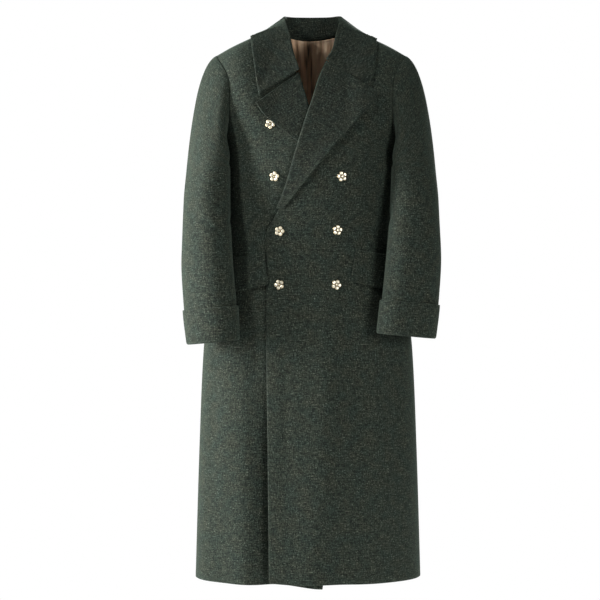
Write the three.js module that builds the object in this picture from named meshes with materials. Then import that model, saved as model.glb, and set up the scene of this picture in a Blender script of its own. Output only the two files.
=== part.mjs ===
// A full-length double-breasted wool overcoat, filled out with no wearer.
// Millimetres. +Z is up, the front faces -Y and +X is the wearer's left.
// The origin is the middle of the neck opening, level with the shoulders' neck points.
import * as THREE from "three";

// Cloth and seams
const CLOTH = 2.2;            // thickness of the wool
const LINING_CLOTH = 1.0;     // thickness of the lining
const SEAM_GAP = 0.3;         // between two pieces that are sewn together
const LAYER_GAP = 0.5;        // between two layers that lie on each other
const ARMHOLE_GAP = 1.1;      // between a sleeve's cap and the curved armhole

// Main sizes
const NECK_HALF = 80;         // neck opening, half its width at the shoulder seams
const NAPE_DROP = 20;         // how far the back neckline dips below the neck points
const CHEST_LEVEL = -295;     // bottom of the armholes
const HEM_LEVEL = -1260;      // lower edge of the skirt
const UNDERLAP_DROP = 10;     // how far the hidden front corner hangs below the hem
const FRONT_EDGE = -98.5;     // edge of the overlapping front
const UNDERLAP_EDGE = 85;     // edge of the front below it, at the waist
const UNDERLAP_HEM = 23;      // the same edge at the hem
const LEAN = -7;              // sideways hang of the skirt

// Shoulder seam line from the neck out
const RIDGE = [
  { x: 0, z: 0 }, { x: 60, z: 0 }, { x: 82, z: -4 }, { x: 110, z: -15 }, { x: 146, z: -32 },
  { x: 183, z: -50 }, { x: 217, z: -69 }, { x: 240, z: -82 },
];

// Level sections of the body: half width, depth of the front and the back, squareness
const BODY = [
  { z: -1290, half: 259, front: 155, back: 155, power: 2.2 },
  { z: -970, half: 249.6, front: 150, back: 147, power: 2.2 },
  { z: -734, half: 239, front: 145, back: 138, power: 2.2 },
  { z: -475, half: 192, front: 124, back: 110, power: 2.2 },
  { z: CHEST_LEVEL, half: 200, front: 132, back: 120, power: 2.2 },
  { z: -160, half: 225, front: 128, back: 118, power: 2.4 },
  { z: 0, half: 225, front: 118, back: 112, power: 2.4 },
];

// How the chest rounds off into the shoulder: height of the rounding and its squareness
const ROUND = {
  back: { height: 180, power: 2.2 },
  frontNeck: { height: 330, power: 1.6 },
  frontShoulder: { height: 180, power: 2.2 },
};

// Armhole seen from the front
const ARMHOLE = [
  { z: CHEST_LEVEL, x: 200 }, { z: -260, x: 190 }, { z: -200, x: 183 }, { z: -142, x: 184.5 },
  { z: -115, x: 191 }, { z: -99, x: 199 }, { z: -83, x: 209 }, { z: -69, x: 217 },
];

// Inner edges of the fronts from the neck seam down to the hem
const LEFT_EDGE = [
  { z: -1290, x: -92.5 }, { z: -963, x: -96 }, { z: -741, x: FRONT_EDGE }, { z: -480, x: FRONT_EDGE },
  { z: -452, x: -84 }, { z: -424, x: -68.5 }, { z: -375, x: -51 }, { z: -322, x: -36 },
  { z: -270, x: -21 }, { z: -222, x: -6 }, { z: -180, x: 8 }, { z: -134, x: 22 },
  { z: -97, x: 38.5 }, { z: -72, x: 51 }, { z: -45, x: 62 },
  { z: -22, x: 72 }, { z: -4, x: NECK_HALF },
];
const RIGHT_EDGE = [
  { z: -1290, x: -UNDERLAP_HEM }, { z: -620, x: -UNDERLAP_EDGE }, { z: -480, x: -UNDERLAP_EDGE },
  { z: -452, x: -70 }, { z: -290, x: -19 }, { z: -256, x: -9 }, { z: -226, x: 1 },
  { z: -197, x: 10 }, { z: -168, x: 19 }, { z: -140, x: 27 }, { z: -116, x: 35 },
  { z: -97, x: 42 }, { z: -72, x: 52 }, { z: -45, x: 62 }, { z: -22, x: 72 }, { z: -4, x: NECK_HALF },
];

// Panel rows: drop below the shoulder line down to the armpit, then levels down to the hem
const SHOULDER_DROPS = [0, 4, 12, 26, 48, 78, 112, 150, 190, 226];
const SKIRT_LEVELS = [-345, -400, -438, -478, -525, -590, -665, -745, -835, -930, -1030, -1130, -1210];

// Soft vertical folds of the skirt: place at the hem, half width and height
const FOLD_TOP = -650;
const LEFT_FOLDS = [
  { x: 0, wide: 34, high: 5 }, { x: 66, wide: 30, high: -5 }, { x: 140, wide: 36, high: 4 },
];
const RIGHT_FOLDS = [{ x: -205, wide: 34, high: -4 }, { x: -150, wide: 30, high: 5 }];
const BACK_FOLDS = [
  { x: -130, wide: 42, high: 5 }, { x: -60, wide: 34, high: -5 }, { x: 20, wide: 40, high: 5 },
  { x: 95, wide: 36, high: -5 }, { x: 165, wide: 34, high: 4 },
];
const VALLEY = { x: -85, wide: 30, deep: 24, rest: 9 };   // beside the overlapping edge

// Layers of the overlapping front over the other front
const OVER_CHEST = 10.4;
const OVER_SKIRT = 3.2;

function mix(a, b, t) {
  return a + (b - a) * t;
}

function clamp(value, low, high) {
  return Math.min(Math.max(value, low), high);
}

function ease(from, to, value) {
  const t = clamp((value - from) / (to - from), 0, 1);
  return t * t * (3 - 2 * t);
}

// A smooth line through a table that is sorted by its key column, with no overshoot
function along(table, key, at, column) {
  const last = table.length - 1;
  const rising = table[last][key] > table[0][key];
  const value = rising ? clamp(at, table[0][key], table[last][key])
    : clamp(at, table[last][key], table[0][key]);
  let i = 0;
  while (i < last - 1 && (rising ? table[i + 1][key] < value : table[i + 1][key] > value)) i += 1;
  const slope = (k) => (table[k + 1][column] - table[k][column]) / (table[k + 1][key] - table[k][key]);
  const tangent = (k) => {
    if (k === 0) return slope(0);
    if (k === last) return slope(last - 1);
    const before = slope(k - 1);
    const after = slope(k);
    return before * after <= 0 ? 0 : (2 * before * after) / (before + after);
  };
  const step = table[i + 1][key] - table[i][key];
  const t = (value - table[i][key]) / step;
  const p0 = table[i][column];
  const p1 = table[i + 1][column];
  const m0 = tangent(i) * step;
  const m1 = tangent(i + 1) * step;
  return p0 * (1 + 2 * t) * (1 - t) ** 2 + m0 * t * (1 - t) ** 2
    + p1 * t * t * (3 - 2 * t) + m1 * t * t * (t - 1);
}

function ridgeZ(x) {
  return along(RIDGE, "x", Math.abs(x), "z");
}

function armholeX(z) {
  return along(ARMHOLE, "z", z, "x");
}

function leanX(z) {
  return LEAN * ease(-300, -620, z);
}

function section(z) {
  return {
    half: along(BODY, "z", z, "half"),
    front: along(BODY, "z", z, "front"),
    back: along(BODY, "z", z, "back"),
    power: along(BODY, "z", z, "power"),
    centre: leanX(z),
  };
}

function shoulderRound(x, side) {
  if (side > 0) return ROUND.back;
  const out = ease(70, 190, Math.abs(x));
  return {
    height: mix(ROUND.frontNeck.height, ROUND.frontShoulder.height, out),
    power: mix(ROUND.frontNeck.power, ROUND.frontShoulder.power, out),
  };
}

// Depth of the body's plain surface; side is -1 at the front and 1 at the back
function surfaceY(x, z, side) {
  const s = section(z);
  const across = clamp(Math.abs(x - s.centre) / s.half, 0, 1);
  const deep = (side < 0 ? s.front : s.back) * (1 - across ** s.power) ** (1 / s.power);
  const round = shoulderRound(x, side);
  const drop = clamp((ridgeZ(x) - z) / round.height, 0, 1);
  const full = (1 - (1 - drop) ** round.power) ** (1 / round.power);
  return side * (deep * full + SEAM_GAP / 2);
}

function surfaceNormal(x, z, side) {
  const step = 0.5;
  const dx = (surfaceY(x + step, z, side) - surfaceY(x - step, z, side)) / (2 * step);
  const dz = (surfaceY(x, z + step, side) - surfaceY(x, z - step, side)) / (2 * step);
  return new THREE.Vector3(-side * dx, side, -side * dz).normalize();
}

function onBody(x, z, side, lift) {
  const point = new THREE.Vector3(x, surfaceY(x, z, side), z);
  return point.addScaledVector(surfaceNormal(x, z, side), lift);
}

function foldHeight(folds, x, z) {
  const grown = ease(FOLD_TOP, HEM_LEVEL, z);
  return folds.reduce((sum, f) => sum + f.high * grown * Math.exp(-(((x - f.x) / f.wide) ** 2)), 0);
}

// Height of each panel's outer face over the plain body surface
function leftLift(x, z) {
  const layers = mix(OVER_CHEST, OVER_SKIRT, ease(-380, -530, z));
  const level = ease(-25, -165, z);
  const toSide = 1 - ease(95, 165, x);
  return layers * level * toSide + foldHeight(LEFT_FOLDS, x, z);
}

function rightLift(x, z) {
  const grown = ease(FOLD_TOP, HEM_LEVEL, z);
  const near = Math.exp(-(((x - VALLEY.x) / VALLEY.wide) ** 2));
  const deep = x < VALLEY.x ? VALLEY.deep * near : mix(VALLEY.rest, VALLEY.deep, near);
  return foldHeight(RIGHT_FOLDS, x, z) - grown * deep;
}

function backLift(x, z) {
  return foldHeight(BACK_FOLDS, x, z);
}

// A closed wall from rows of points on its outer face, with a normal for each point
function wallGeometry(rows, normals, thickness, wrapped) {
  const rowCount = rows.length;
  const columnCount = rows[0].length;
  const spans = wrapped ? columnCount : columnCount - 1;
  const position = [];
  rows.forEach((row) => row.forEach((p) => position.push(p.x, p.y, p.z)));
  rows.forEach((row, r) => row.forEach((p, c) => {
    const n = normals[r][c];
    position.push(p.x - n.x * thickness, p.y - n.y * thickness, p.z - n.z * thickness);
  }));
  const inner = rowCount * columnCount;
  const id = (r, c) => r * columnCount + (c % columnCount);
  const index = [];
  const quad = (a, b, c, d) => index.push(a, b, c, a, c, d);
  for (let r = 0; r < rowCount - 1; r += 1) {
    for (let c = 0; c < spans; c += 1) {
      quad(id(r, c), id(r + 1, c), id(r + 1, c + 1), id(r, c + 1));
      quad(inner + id(r, c), inner + id(r, c + 1), inner + id(r + 1, c + 1), inner + id(r + 1, c));
    }
  }
  for (let c = 0; c < spans; c += 1) {
    const bottom = rowCount - 1;
    quad(id(0, c), id(0, c + 1), inner + id(0, c + 1), inner + id(0, c));
    quad(id(bottom, c + 1), id(bottom, c), inner + id(bottom, c), inner + id(bottom, c + 1));
  }
  if (!wrapped) {
    for (let r = 0; r < rowCount - 1; r += 1) {
      const end = columnCount - 1;
      quad(id(r + 1, 0), id(r, 0), inner + id(r, 0), inner + id(r + 1, 0));
      quad(id(r, end), id(r + 1, end), inner + id(r + 1, end), inner + id(r, end));
    }
  }
  const geometry = new THREE.BufferGeometry();
  geometry.setAttribute("position", new THREE.Float32BufferAttribute(position, 3));
  geometry.setIndex(index);
  geometry.computeVertexNormals();
  return geometry;
}

// Normals of a grid that point to its outer face, from each point's neighbours in its column
// and from the points just before and after it in its row
function gridNormals(rows, before, after) {
  return rows.map((row, r) => row.map((p, c) => {
    const up = rows[Math.max(r - 1, 0)][c];
    const down = rows[Math.min(r + 1, rows.length - 1)][c];
    const across = new THREE.Vector3().subVectors(after[r][c], before[r][c]);
    return new THREE.Vector3().subVectors(down, up).cross(across).normalize();
  }));
}

function rowNeighbours(rows, step) {
  return rows.map((row) => row.map((p, c) => row[clamp(c + step, 0, row.length - 1)]));
}

// Takes one direction out of a normal, so that two pieces' edges face each other
function flatten(normal, axis) {
  normal[axis] = 0;
  return normal.normalize();
}

const WOOL = { color: 0x343c36, roughness: 0.95, metalness: 0 };
const WOOL_DARK = { color: 0x262b27, roughness: 0.95, metalness: 0 };
const LINING = { color: 0x4d3a2a, roughness: 0.45, metalness: 0 };
const METAL = { color: 0xd8cfae, roughness: 0.35, metalness: 0.8 };

const coat = new THREE.Group();

function addPiece(name, geometry, look) {
  const piece = new THREE.Mesh(geometry, new THREE.MeshStandardMaterial(look));
  piece.name = name;
  coat.add(piece);
  return piece;
}

// Body panels. Each runs from its inner edge to the armhole and the side seam.
// A panel's own x grows from the coat's middle to its side, so hand turns it left or right.
function panelRows(panel) {
  const { hand, side, columns, edge, top, lift, hem } = panel;
  const low = SHOULDER_DROPS[SHOULDER_DROPS.length - 1];
  const shoulderRow = (drop) => {
    const level = ease(0, low, drop);
    const rowZ = (x) => mix(top(x), ARMHOLE[ARMHOLE.length - 1].z, level) - drop;
    return { rowZ, sideX: settle((x) => armholeX(rowZ(x)), 200), seam: drop === low };
  };
  const skirtRow = (level) => ({ rowZ: () => level, sideX: sideSeamX(hand, level), seam: true });
  const hemRow = { rowZ: hem, sideX: settle((x) => sideSeamX(hand, hem(x)), 250), seam: true };
  const rows = [...SHOULDER_DROPS.map(shoulderRow), ...SKIRT_LEVELS.map(skirtRow), hemRow];
  const points = [];
  const normals = [];
  rows.forEach(({ rowZ, sideX, seam }, r) => {
    const edgeX = settle((x) => edge(rowZ(x)), 60);
    const s = section(rowZ(edgeX));
    const middle = hand * s.centre;
    const turn = (x) => {
      const across = clamp((x - middle) / s.half, -1, 1);
      return Math.sign(across) * Math.asin(Math.abs(across) ** (s.power / 2));
    };
    const pointRow = [];
    const normalRow = [];
    for (let c = 0; c < columns; c += 1) {
      const angle = mix(turn(edgeX), turn(sideX), c / (columns - 1));
      const out = Math.sign(angle) * Math.abs(Math.sin(angle)) ** (2 / s.power);
      const local = c === columns - 1 ? sideX : middle + s.half * out;
      const x = hand * local;
      const z = rowZ(local);
      const normal = surfaceNormal(x, z, side);
      pointRow.push(onBody(x, z, side, lift(x, z)));
      if (r === 0 && local >= NECK_HALF - 1) {
        normal.set(hand * -(ridgeZ(local + 1) - ridgeZ(local - 1)) / 2, 0, 1).normalize();
      }
      if (seam && c === columns - 1) normal.set(hand, 0, 0);
      if (side > 0 && c === 0) flatten(normal, "x");
      normalRow.push(normal);
    }
    if (hand * side > 0) {
      pointRow.reverse();
      normalRow.reverse();
    }
    points.push(pointRow);
    normals.push(normalRow);
  });
  return { points, normals };
}

// The x at which a row meets an edge whose x depends on the row's height
function settle(next, start) {
  let x = start;
  for (let i = 0; i < 60; i += 1) x = mix(x, next(x), 0.5);
  return x;
}

function sideSeamX(hand, z) {
  const s = section(z);
  return hand * s.centre + s.half;
}

function neckTop(x) {
  return Math.abs(x) < NECK_HALF ? -NAPE_DROP * (1 - (x / NECK_HALF) ** 2) - 4 * (x / NECK_HALF) ** 2
    : ridgeZ(x);
}

const PANELS = [
  {
    name: "front_left", hand: 1, side: -1, columns: 15, top: ridgeZ, lift: leftLift,
    edge: (z) => along(LEFT_EDGE, "z", z, "x"),
    hem: (x) => HEM_LEVEL + 2.5 * ease(-40, FRONT_EDGE, x),
  },
  {
    name: "front_right", hand: -1, side: -1, columns: 15, top: ridgeZ, lift: rightLift,
    edge: (z) => along(RIGHT_EDGE, "z", z, "x"),
    hem: (x) => HEM_LEVEL - 2.5 - (UNDERLAP_DROP - 1.5) * ease(60, -UNDERLAP_HEM, x),
  },
  {
    name: "back_left", hand: 1, side: 1, columns: 11, top: neckTop, lift: backLift,
    edge: (z) => leanX(z) + SEAM_GAP / 2, hem: () => HEM_LEVEL,
  },
  {
    name: "back_right", hand: -1, side: 1, columns: 11, top: neckTop, lift: backLift,
    edge: (z) => SEAM_GAP / 2 - leanX(z), hem: () => HEM_LEVEL,
  },
];

function addPanels() {
  PANELS.forEach((panel) => {
    const { points, normals } = panelRows(panel);
    addPiece(panel.name, wallGeometry(points, normals, CLOTH, false), WOOL);
  });
}

// Sleeves. Level rings below the armhole: outer and inner side, half depth, forward turn and place
const SLEEVE = [
  { z: -335, outer: 285.5, innerLeft: 181, innerRight: 182.5, deep: 65, turn: 0.55, y: -46 },
  { z: -405, outer: 289.5, innerLeft: 178, innerRight: 182, deep: 64, turn: 0.35, y: -68 },
  { z: -531, outer: 291.5, innerLeft: 168, innerRight: 176, deep: 60, turn: 0.3, y: -100 },
  { z: -640, outer: 284.5, innerLeft: 157, innerRight: 167, deep: 52, turn: 0.3, y: -122 },
  { z: -735, outer: 272, innerLeft: 147, innerRight: 163, deep: 43, turn: 0.3, y: -138 },
];
const SLEEVE_TOP = -335;
const SLEEVE_RINGS = [-375, -420, -475, -530, -585, -640, -690];
const CAP_STEPS = [0, 0.1, 0.24, 0.4, 0.58, 0.78, 1];
const CUFF_LEVEL = -724;      // middle of the sleeve's end, below it the fold of the cuff
const CUFF_TILT = 0.1;        // the sleeve's end rises toward the body
const SHORTER_LEFT = 14;      // the wearer's left sleeve hangs higher
const CUFF_HEIGHT = 76;
const SLEEVE_SPACE = 10;      // between a sleeve and the body's plain surface
// How the cap leaves the armhole and comes down into the arm: directions and strengths
const CAP_LEAVE = { inward: 0.75, ahead: 0.9, steepLow: 0.8, steepHigh: 0.48, fullHigh: 0.5 };
const CAP_ARRIVE = { out: 0.08, front: 0.1, fullBottom: 0.6, fullTop: 1.15 };
const CAP_SWELL = 15;         // the front of the cap swells over the chest beside the armpit
const SWELL_ANGLE = (138 * Math.PI) / 180;
const SWELL_WIDE = (34 * Math.PI) / 180;
const BACK_SEAM = (-100 * Math.PI) / 180;
const FRONT_SEAM = (150 * Math.PI) / 180;

// Moves a point of a sleeve out to where it lies beside the body
function besideBody(point, space) {
  const s = section(point.z);
  const deep = (point.y < 0 ? s.front : s.back) + space;
  const across = Math.abs(point.x - s.centre) / (s.half + space);
  const inside = across ** s.power + (Math.abs(point.y) / deep) ** s.power;
  if (inside >= 1) return point;
  const grow = inside ** (-1 / s.power);
  point.x = s.centre + (point.x - s.centre) * grow;
  point.y *= grow;
  return point;
}

// A point of a sleeve's ring; the angle is 0 at the outer side and a quarter turn at the front
function sleevePoint(hand, level, angle, grow) {
  const inner = along(SLEEVE, "z", level, hand > 0 ? "innerLeft" : "innerRight");
  const outer = along(SLEEVE, "z", level, "outer");
  const half = (outer - inner) / 2;
  const deep = along(SLEEVE, "z", level, "deep");
  const turn = along(SLEEVE, "z", level, "turn") * half;
  const out = new THREE.Vector2(deep * Math.cos(angle) + turn * Math.sin(angle),
    -half * Math.sin(angle)).normalize();
  const x = (outer + inner) / 2 + half * Math.cos(angle);
  const y = along(SLEEVE, "z", level, "y") - deep * Math.sin(angle) + turn * Math.cos(angle);
  const low = ease(SLEEVE_TOP, CUFF_LEVEL, level);
  const rise = low * (hand > 0 ? SHORTER_LEFT : 0) - low * CUFF_TILT * (x - (outer + inner) / 2);
  const point = besideBody(new THREE.Vector3(hand * x, y, level + rise), SLEEVE_SPACE);
  point.x += hand * out.x * grow;
  point.y += out.y * grow;
  return point;
}

function armholePoint(hand, angle) {
  const top = ARMHOLE[ARMHOLE.length - 1].z;
  const z = mix(CHEST_LEVEL + LAYER_GAP, top, (1 + Math.cos(angle)) / 2);
  const x = armholeX(z);
  const y = surfaceY(x, z, Math.sin(angle) > 0 ? -1 : 1);
  return new THREE.Vector3(hand * (x + ARMHOLE_GAP), y, z);
}

// The cap bends from the armhole down into the arm
function capPoint(hand, step, angle) {
  const start = armholePoint(hand, angle);
  if (step === 0) return start;
  const end = sleevePoint(hand, SLEEVE_TOP, angle, 0);
  const reach = start.distanceTo(end);
  const high = (1 + Math.cos(angle)) / 2;
  const forward = Math.max(Math.sin(angle), 0) * Math.sqrt(1 - high);
  const { inward, ahead, steepLow, steepHigh, fullHigh } = CAP_LEAVE;
  const leave = new THREE.Vector3(hand * (1 - inward * forward), -ahead * forward,
    -mix(steepLow, steepHigh, high)).normalize().multiplyScalar(reach * mix(1, fullHigh, high));
  const { out, front, fullBottom, fullTop } = CAP_ARRIVE;
  const arrive = new THREE.Vector3(hand * out, -front, -1)
    .multiplyScalar(reach * mix(fullBottom, fullTop, high));
  const point = start.multiplyScalar((1 + 2 * step) * (1 - step) ** 2)
    .addScaledVector(leave, step * (1 - step) ** 2)
    .addScaledVector(end, step * step * (3 - 2 * step))
    .addScaledVector(arrive, step * step * (step - 1));
  const swell = CAP_SWELL * Math.sin(Math.PI * step) ** 2
    * Math.exp(-(((angle - SWELL_ANGLE) / SWELL_WIDE) ** 2));
  point.x -= hand * swell;
  point.y -= 0.5 * swell;
  if (point.z < CHEST_LEVEL) return besideBody(point, SLEEVE_SPACE * ease(0, 1, step) + LAYER_GAP);
  const least = armholeX(point.z) + ARMHOLE_GAP;
  const before = -surfaceY(Math.min(Math.abs(point.x), least), point.z, -1) + CLOTH + ARMHOLE_GAP;
  if (-point.y < before) {
    if (Math.sin(angle) > 0.3 && Math.abs(point.x) < least) point.y = -before;
    else point.x = hand * Math.max(Math.abs(point.x), least);
  }
  return point;
}

function sleeveRows(hand, angles) {
  const caps = CAP_STEPS.map((step) => angles.map((angle) => capPoint(hand, step, angle)));
  const rings = [...SLEEVE_RINGS, CUFF_LEVEL + CLOTH + LAYER_GAP]
    .map((level) => angles.map((angle) => sleevePoint(hand, level, angle, 0)));
  return [...caps, ...rings];
}

// Angles of a strip of columns between two seams, with half a seam's gap left at each
function stripAngles(from, to, count) {
  const gap = SEAM_GAP / 40;
  return Array.from({ length: count }, (_, i) => mix(from + gap, to - gap, i / (count - 1)));
}

// A tube's strip of columns. The front's columns run to the wearer's left, so the angles of the
// left sleeve run backwards.
function addStrip(name, hand, angles, rowsAt, wrapped) {
  const step = -0.06 * hand;   // one small turn along the row
  const ordered = hand > 0 ? [...angles].reverse() : angles;
  const rows = rowsAt(ordered);
  const before = rowsAt(ordered.map((angle) => angle - step));
  const after = rowsAt(ordered.map((angle) => angle + step));
  const normals = gridNormals(rows, before, after);
  if (!wrapped) normals[0].forEach((normal) => flatten(normal, "x"));
  addPiece(name, wallGeometry(rows, normals, CLOTH, wrapped), WOOL);
}

function addSleeve(hand, name) {
  const top = stripAngles(BACK_SEAM, FRONT_SEAM, 14);
  const under = stripAngles(FRONT_SEAM, BACK_SEAM + 2 * Math.PI, 9);
  const rowsAt = (angles) => sleeveRows(hand, angles);
  addStrip(`${name}_top`, hand, top, rowsAt, false);
  addStrip(`${name}_under`, hand, under, rowsAt, false);
}

// Turned-back cuff: height over its fold and distance out from the sleeve's face
const CUFF = [
  { up: CUFF_HEIGHT, out: 4.6 }, { up: CUFF_HEIGHT / 2, out: 5 }, { up: 7, out: 5 },
  { up: 1.4, out: 4.2 }, { up: 0, out: 2 }, { up: 0.1, out: -1.6 },
];

function addCuff(hand, name) {
  const count = 24;
  const angles = Array.from({ length: count }, (_, i) => (i / count) * 2 * Math.PI);
  const rowsAt = (ring) => CUFF.map(({ up, out }) => ring.map(
    (angle) => sleevePoint(hand, CUFF_LEVEL + up, angle, out)));
  addStrip(name, hand, angles, rowsAt, true);
}

// Lapels, from the gorge down: the roll line and the outer edge, seen from the front, and how far
// the free edge stands off
const LAPEL_LEFT = [
  { rollX: 33, rollZ: -93, edgeX: 147, edgeZ: -167, rise: 8 },
  { rollX: 16, rollZ: -134, edgeX: 131, edgeZ: -195, rise: 9 },
  { rollX: 2, rollZ: -180, edgeX: 109, edgeZ: -221, rise: 9 },
  { rollX: -12, rollZ: -222, edgeX: 86, edgeZ: -248, rise: 8.5 },
  { rollX: -27, rollZ: -270, edgeX: 53, edgeZ: -283, rise: 7 },
  { rollX: -42, rollZ: -322, edgeX: 15, edgeZ: -328, rise: 5 },
  { rollX: -57, rollZ: -375, edgeX: -23, edgeZ: -377, rise: 2.5 },
  { rollX: -75, rollZ: -424, edgeX: -60, edgeZ: -425, rise: 1 },
];
const LAPEL_RIGHT = [
  { rollX: 28, rollZ: -117, edgeX: 122.6, edgeZ: -190, rise: 6 },
  { rollX: 21, rollZ: -140, edgeX: 112, edgeZ: -208, rise: 6 },
  { rollX: 13, rollZ: -168, edgeX: 98, edgeZ: -223, rise: 5 },
  { rollX: 4, rollZ: -197, edgeX: 79, edgeZ: -238, rise: 5 },
  { rollX: -5, rollZ: -226, edgeX: 57, edgeZ: -256, rise: 2.5 },
  { rollX: -15, rollZ: -256, edgeX: 34, edgeZ: -274, rise: 0 },
  { rollX: -25, rollZ: -290, edgeX: 9, edgeZ: -298, rise: 0 },
];
const LAPEL_ROWS = 12;
const ROLL_RADIUS = 4.7;      // outer face of the rolled edge
const FACING_REACH = 13;      // how far the facing runs on behind the front
const ROLL_TURNS = [210, 180, 150].map((degrees) => (degrees * Math.PI) / 180);
const LAPEL_ACROSS = [0.16, 0.34, 0.54, 0.76, 0.93, 1];

function lapelRow(hand, table, at, lift) {
  const row = {};
  ["rollX", "rollZ", "edgeX", "edgeZ", "rise"].forEach((column) => {
    row[column] = along(table.map((r, i) => ({ ...r, i })), "i", at * (table.length - 1), column);
  });
  const wide = Math.hypot(row.edgeX - row.rollX, row.edgeZ - row.rollZ);
  const place = (reach) => {
    const x = hand * mix(row.rollX, row.edgeX, reach);
    const z = mix(row.rollZ, row.edgeZ, reach);
    return { x, z, base: lift(x, z) };
  };
  const atRoll = place(0);
  const near = place(6 / wide);
  const roll = onBody(atRoll.x, atRoll.z, -1, 0);
  const across = onBody(near.x, near.z, -1, 0).sub(roll).normalize();
  const out = surfaceNormal(atRoll.x, atRoll.z, -1);
  const middle = near.base - CLOTH / 2;
  const wrap = (reach, high) => roll.clone().addScaledVector(across, reach).addScaledVector(out, high);
  const behind = [FACING_REACH, ROLL_RADIUS].map((reach) => wrap(reach, middle - ROLL_RADIUS));
  const turned = ROLL_TURNS.map((angle) => wrap(
    ROLL_RADIUS * (1 + Math.cos(angle)), middle + ROLL_RADIUS * Math.sin(angle)));
  const top = [wrap(ROLL_RADIUS, middle + ROLL_RADIUS)];
  const laid = LAPEL_ACROSS.map((t) => {
    const reach = mix(ROLL_RADIUS / wide, 1, t);
    const p = place(reach);
    const rise = ROLL_RADIUS - CLOTH / 2 + row.rise * t ** 3;
    return onBody(p.x, p.z, -1, p.base + rise);
  });
  return [...behind, ...turned, ...top, ...laid];
}

function addLapel(name, hand, table, lift) {
  const rows = Array.from({ length: LAPEL_ROWS }, (_, i) => {
    const row = lapelRow(hand, table, i / (LAPEL_ROWS - 1), lift);
    return hand > 0 ? row : row.reverse();
  });
  const normals = gridNormals(rows, rowNeighbours(rows, -1), rowNeighbours(rows, 1));
  addPiece(name, wallGeometry(rows, normals, CLOTH, false), WOOL);
}

// Collar, from the centre back to each front end: the neck seam, the fold and the outer edge
const COLLAR_LEFT = [
  { seamX: 0, seamZ: -19, foldX: 0, foldY: 72, foldZ: 31, edgeX: 0, edgeY: 100, edgeZ: -50 },
  { seamX: 38, seamZ: -15, foldX: 38, foldY: 62, foldZ: 30, edgeX: 66, edgeY: 96, edgeZ: -46 },
  { seamX: 63, seamZ: -9, foldX: 58, foldY: 38, foldZ: 28, edgeX: 114, edgeY: 66, edgeZ: -38 },
  { seamX: 75, seamZ: -4, foldX: 66, foldY: 12, foldZ: 23, edgeX: 144, edgeY: 25, edgeZ: -28 },
  { seamX: 69.5, seamZ: -18, foldX: 65, foldY: -14, foldZ: 6, edgeX: 147, edgeY: -14, edgeZ: -31 },
  { seamX: 61, seamZ: -38, foldX: 57, foldY: -38, foldZ: -24, edgeX: 147, edgeY: -46, edgeZ: -62 },
  { seamX: 51, seamZ: -63, foldX: 49, foldY: -60, foldZ: -58, edgeX: 143, edgeY: -74, edgeZ: -104 },
  { seamX: 39, seamZ: -88, foldX: 34, foldY: -80, foldZ: -86, edgeX: 132.6, edgeY: -104, edgeZ: -151 },
];
const COLLAR_RIGHT = [
  ...COLLAR_LEFT.slice(0, 3),
  { seamX: 75, seamZ: -4, foldX: 60, foldY: 12, foldZ: 20, edgeX: 134, edgeY: 25, edgeZ: -24 },
  { seamX: 69.5, seamZ: -18, foldX: 56, foldY: -14, foldZ: 2, edgeX: 136, edgeY: -14, edgeZ: -29 },
  { seamX: 59, seamZ: -42, foldX: 47, foldY: -40, foldZ: -32, edgeX: 133, edgeY: -48, edgeZ: -68 },
  { seamX: 46, seamZ: -74, foldX: 39, foldY: -66, foldZ: -70, edgeX: 126, edgeY: -82, edgeZ: -118 },
  { seamX: 32, seamZ: -108, foldX: 27, foldY: -90, foldZ: -110, edgeX: 117.6, edgeY: -108, edgeZ: -169 },
];
const COLLAR_STEPS = 12;      // from the centre back to each end
const COLLAR_TURN = 4.2;      // half the width of its fold
const COLLAR_ACROSS = [0.22, 0.45, 0.7, 0.9, 1];

// Moves a point out until it is the given height over the shoulders or the chest
function overBody(point, space) {
  for (let i = 0; i < 6; i += 1) {
    const side = point.y < 0 ? -1 : 1;
    const foot = surfaceY(point.x, point.z, side);
    const over = point.z > ridgeZ(point.x);
    if (over) {
      const low = surfaceNormal(point.x, ridgeZ(point.x) - 2, side);
      const high = (point.z - ridgeZ(point.x)) * Math.abs(low.z);
      const beyond = high + Math.abs(point.y) * Math.abs(low.y);
      if (beyond >= space) return point;
      point.z += space - beyond;
    } else {
      const normal = surfaceNormal(point.x, point.z, side);
      const distance = (point.y - foot) * normal.y;
      if (distance >= space) return point;
      point.addScaledVector(normal, space - distance);
    }
  }
  return point;
}

function collarSection(hand, at) {
  const table = (hand > 0 ? COLLAR_LEFT : COLLAR_RIGHT).map((row, i) => ({ ...row, i }));
  const get = (column) => along(table, "i", at * (table.length - 1), column);
  const seamX = hand * get("seamX");
  const side = at < 3 / 7 ? 1 : -1;
  const seam = new THREE.Vector3(seamX, surfaceY(seamX, get("seamZ"), side), get("seamZ"));
  const fold = new THREE.Vector3(hand * get("foldX"), get("foldY"), get("foldZ"));
  const edge = new THREE.Vector3(hand * get("edgeX"), get("edgeY"), get("edgeZ"));
  const toSeam = seam.clone().sub(fold).normalize();
  const toEdge = edge.clone().sub(fold).normalize();
  const up = toSeam.clone().add(toEdge).normalize().negate();
  const out = toEdge.clone().addScaledVector(up, -toEdge.dot(up)).normalize();
  const bend = (a, b) => fold.clone().addScaledVector(out, a * COLLAR_TURN)
    .addScaledVector(up, (b - 1) * COLLAR_TURN);
  const inside = bend(-1, 0);
  const outside = bend(1, 0);
  const stand = [seam, seam.clone().lerp(inside, 0.5), inside];
  const turned = [bend(-0.72, 0.7), bend(0, 1), bend(0.72, 0.7), outside];
  const fall = COLLAR_ACROSS.map((t) => {
    const point = outside.clone().lerp(edge, t);
    const lift = point.y < 0 && hand > 0 ? leftLift(point.x, point.z) : 0;
    return overBody(point, Math.max(lift, 0) + CLOTH + LAYER_GAP + 1 + t);
  });
  return [...stand, ...turned, ...fall];
}

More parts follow.
